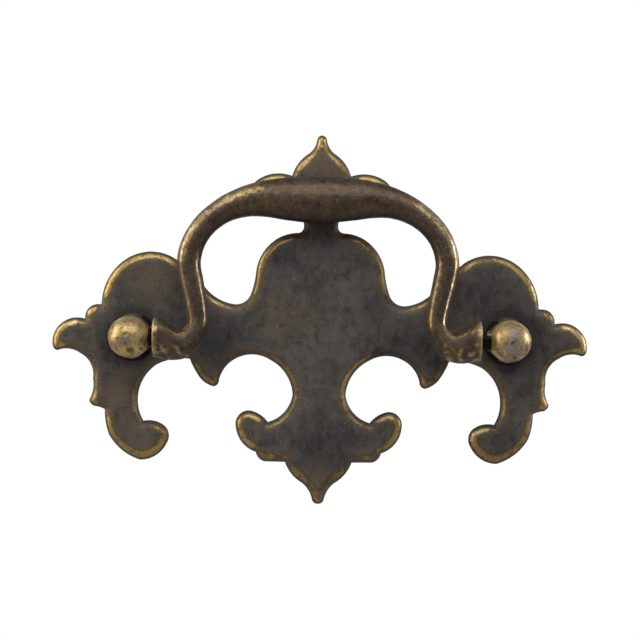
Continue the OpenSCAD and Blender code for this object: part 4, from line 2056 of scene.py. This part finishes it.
    def ball_wear(self, points: np.ndarray, x: np.ndarray, z: np.ndarray, forward: np.ndarray) -> np.ndarray:
        """How rubbed the ball is: least in its grey place on the front, below and at the back, and more round
        its outline as seen from the front.

        Args:
            points: The post's points.
            x: Their distance to the right of the post's axis.
            z: Their height over it.
            forward: Their distance in front of the ball's middle.

        Returns:
            The wear at each point, as if all of them were on the ball.
        """
        # The grey place is patina left unrubbed, and also a painted reflection of the dim room in front.
        middle_x, middle_z, half_wide, half_high = self.grey_reflection
        grey_reflection = np.hypot((x - middle_x) / half_wide, (z - middle_z) / half_high)
        lumps = np.array([unevenness(*row, 1.8, 6.6) for row in points])
        worn = 0.12 + 0.54 * smoothstep(0.2, 1.9, grey_reflection) * smoothstep(-2.5, 0.5, forward) + 0.30 * lumps
        worn -= 0.16 * smoothstep(0.5, -1.8, z)
        return worn + 0.18 * smoothstep(0.80, 0.92, np.hypot(x, z) / (self.ball_d / 2))

    def make(self, finish: bpy.types.Material) -> bpy.types.Object:
        """Builds, dresses and places the post.

        Args:
            finish: The posts' material.

        Returns:
            The finished piece.
        """
        piece = self.build()
        piece.data.materials.clear()
        piece.data.materials.append(finish)
        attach(piece, Body.PLATE.value)
        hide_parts(f"post_{self.side.name.lower()}")
        return piece


@dataclass(frozen=True)
class Softbox:
    """A soft rectangular lamp that faces the handle.

    Attributes:
        name: The lamp's name.
        place: Where it hangs, in metres.
        width: Its width.
        height: Its height.
        power: Its power in watts.
        colour: The colour of its light.
    """

    name: str
    place: Point3
    width: float
    height: float
    power: float
    colour: Colour = (1.0, 1.0, 1.0)

    def hang(self) -> None:
        """Hangs the lamp and turns it to the handle."""
        light = bpy.data.lights.new(self.name, "AREA")
        light.shape = "RECTANGLE"
        light.size, light.size_y = self.width, self.height
        light.energy = self.power
        light.color = self.colour
        lamp = bpy.data.objects.new(self.name, light)
        lamp.location = self.place
        lamp.rotation_euler = (-Vector(self.place)).to_track_quat("-Z", "Y").to_euler()
        lamp.visible_camera = False
        bpy.context.scene.collection.objects.link(lamp)


@dataclass(frozen=True)
class Studio:
    """Pale room, floor, lamps and camera.

    Attributes:
        lamps: The softboxes.
        fill: Strength of the room's light on matt surfaces.
        front: What shiny surfaces see of the room in front of the handle.
        back: Between which shares of the way straight back the room that they see becomes white.
        below: Share of the room's light that comes from straight below.
        horizon: Between which shares of the way straight up that light becomes full.
        floor_drop: How far the floor lies below the handle's origin, in metres.
        floor_radius: Its radius.
        floor_sides: Number of points round it.
        floor_glow: Its own light for all but the camera, and for the camera.
        aim: The point of the plate's front in the middle of the picture, X and Z in millimetres.
        plate_front: Distance of the plate's front from its back.
        view_width: Width of the picture at the plate's front.
        distance: Distance of the camera from the plate's front.
        sensor: Width of the camera's sensor.
        roll_deg: How far the camera is turned about its line of sight.
    """

    lamps: tuple[Softbox, ...] = (
        Softbox("lamp_right", (0.62, 0.08, 0.12), 0.10, 0.34, 2.1, (1.0, 0.98, 0.96)),
        Softbox("lamp_left", (-0.62, -0.05, 0.18), 0.42, 0.60, 2.9, (1.0, 0.90, 0.74)),
        Softbox("lamp_top", (0.0, -0.50, 0.60), 0.90, 0.50, 3.7, (1.0, 0.98, 0.96)),
    )
    fill: float = 0.50
    front: float = 0.34
    back: Point2 = (0.90, 0.995)
    below: float = 0.35
    horizon: Point2 = (-0.7, 0.2)
    floor_drop: float = 0.35
    floor_radius: float = 1.2
    floor_sides: int = 96
    floor_glow: Point2 = (0.16, 0.62)
    aim: Point2 = (0.01, 3.82)
    plate_front: float = 2.6
    view_width: float = 129.8
    distance: float = 430.0
    sensor: float = 36.0
    roll_deg: float = 0.70

    def set_camera(self) -> None:
        """Sets up the camera square to the plate."""
        data = bpy.data.cameras.new("camera")
        data.sensor_width = self.sensor
        data.lens = self.sensor * self.distance / self.view_width
        data.clip_start = 0.01
        camera = bpy.data.objects.new("camera", data)
        place = Vector((self.aim[0], -(self.plate_front + self.distance), self.aim[1])) * MM
        turn = Matrix.Rotation(math.pi / 2, 4, "X") @ Matrix.Rotation(math.radians(self.roll_deg), 4, "Z")
        camera.matrix_world = Matrix.Translation(place) @ turn
        bpy.context.scene.collection.objects.link(camera)
        bpy.context.scene.camera = camera

    def set_room(self) -> None:
        """Lights the room: white where it is seen, softer on matt surfaces and from below."""
        world = bpy.data.worlds.new("room")
        world.use_nodes = True
        bpy.context.scene.world = world
        nodes = Nodes(world.node_tree)
        nodes.tree.nodes.clear()
        room = nodes.add("Background")
        nodes.feed(room.inputs["Color"], (1.0, 1.0, 1.0))
        nodes.feed(nodes.add("OutputWorld").inputs["Surface"], room.outputs[0])
        rays = nodes.add("LightPath").outputs
        way = nodes.add("SeparateXYZ")
        nodes.feed(way.inputs[0], nodes.add("TexCoord").outputs["Generated"])
        mirrored = nodes.step(way.outputs["Y"], *self.back, self.front, 1.0)
        strength = nodes.pick(rays["Is Glossy Ray"], self.fill, mirrored)
        dimmed = nodes.step(way.outputs["Z"], *self.horizon, self.below, 1.0, soft=False)
        strength = nodes.product(strength, dimmed)
        for ray in ("Is Transmission Ray", "Is Camera Ray"):
            strength = nodes.pick(rays[ray], strength, 1.0)
        nodes.feed(room.inputs["Strength"], strength)

    def lay_floor(self) -> bpy.types.Object:
        """Lays the pale floor below the handle.

        Returns:
            The floor.
        """
        skin = Skin()
        radius, drop = self.floor_radius / MM, -self.floor_drop / MM
        turns = round_turns(self.floor_sides)
        ring = skin.add([(radius * math.cos(t), radius * math.sin(t), drop) for t in turns])
        skin.cap(ring, (0.0, 0.0, drop))
        floor = skin.to_object("floor", 30.0)
        material = bpy.data.materials.new("floor_pale")
        material.use_nodes = True
        nodes = Nodes(material.node_tree)
        inputs = nodes.tree.nodes["Principled BSDF"].inputs
        nodes.feed(inputs["Base Color"], (0.35, 0.35, 0.35))
        nodes.feed(inputs["Roughness"], 1.0)
        nodes.feed(inputs["Specular IOR Level"], 0.0)
        nodes.feed(inputs["Emission Color"], (1.0, 1.0, 1.0))
        seen = nodes.add("LightPath").outputs["Is Camera Ray"]
        nodes.feed(inputs["Emission Strength"], nodes.pick(seen, *self.floor_glow))
        floor.data.materials.append(material)
        return floor

    def set_up(self) -> None:
        """Sets up the camera, the room, the lamps and the floor."""
        self.set_camera()
        self.set_room()
        for lamp in self.lamps:
            lamp.hang()
        self.lay_floor()
        bpy.context.scene.view_settings.view_transform = "Standard"


def report(piece: bpy.types.Object) -> None:
    """Logs a piece's name and triangle count."""
    triangles = sum(len(face.vertices) - 2 for face in piece.data.polygons)
    LOG.info("%s: %d triangles", piece.name, triangles)


def main() -> None:
    """Sets up the studio and builds each piece in order."""
    logging.basicConfig(level=logging.INFO, format="%(message)s")
    Studio().set_up()
    report(Backplate().make())
    report(Bail().make())
    post_finish = POST_FINISH.material()
    report(Post(Side.LEFT, grey_reflection=(-0.35, -0.4, 0.5, 0.9), dimple=0.2).make(post_finish))
    report(Post(Side.RIGHT).make(post_finish))


if __name__ == "__main__":
    main()
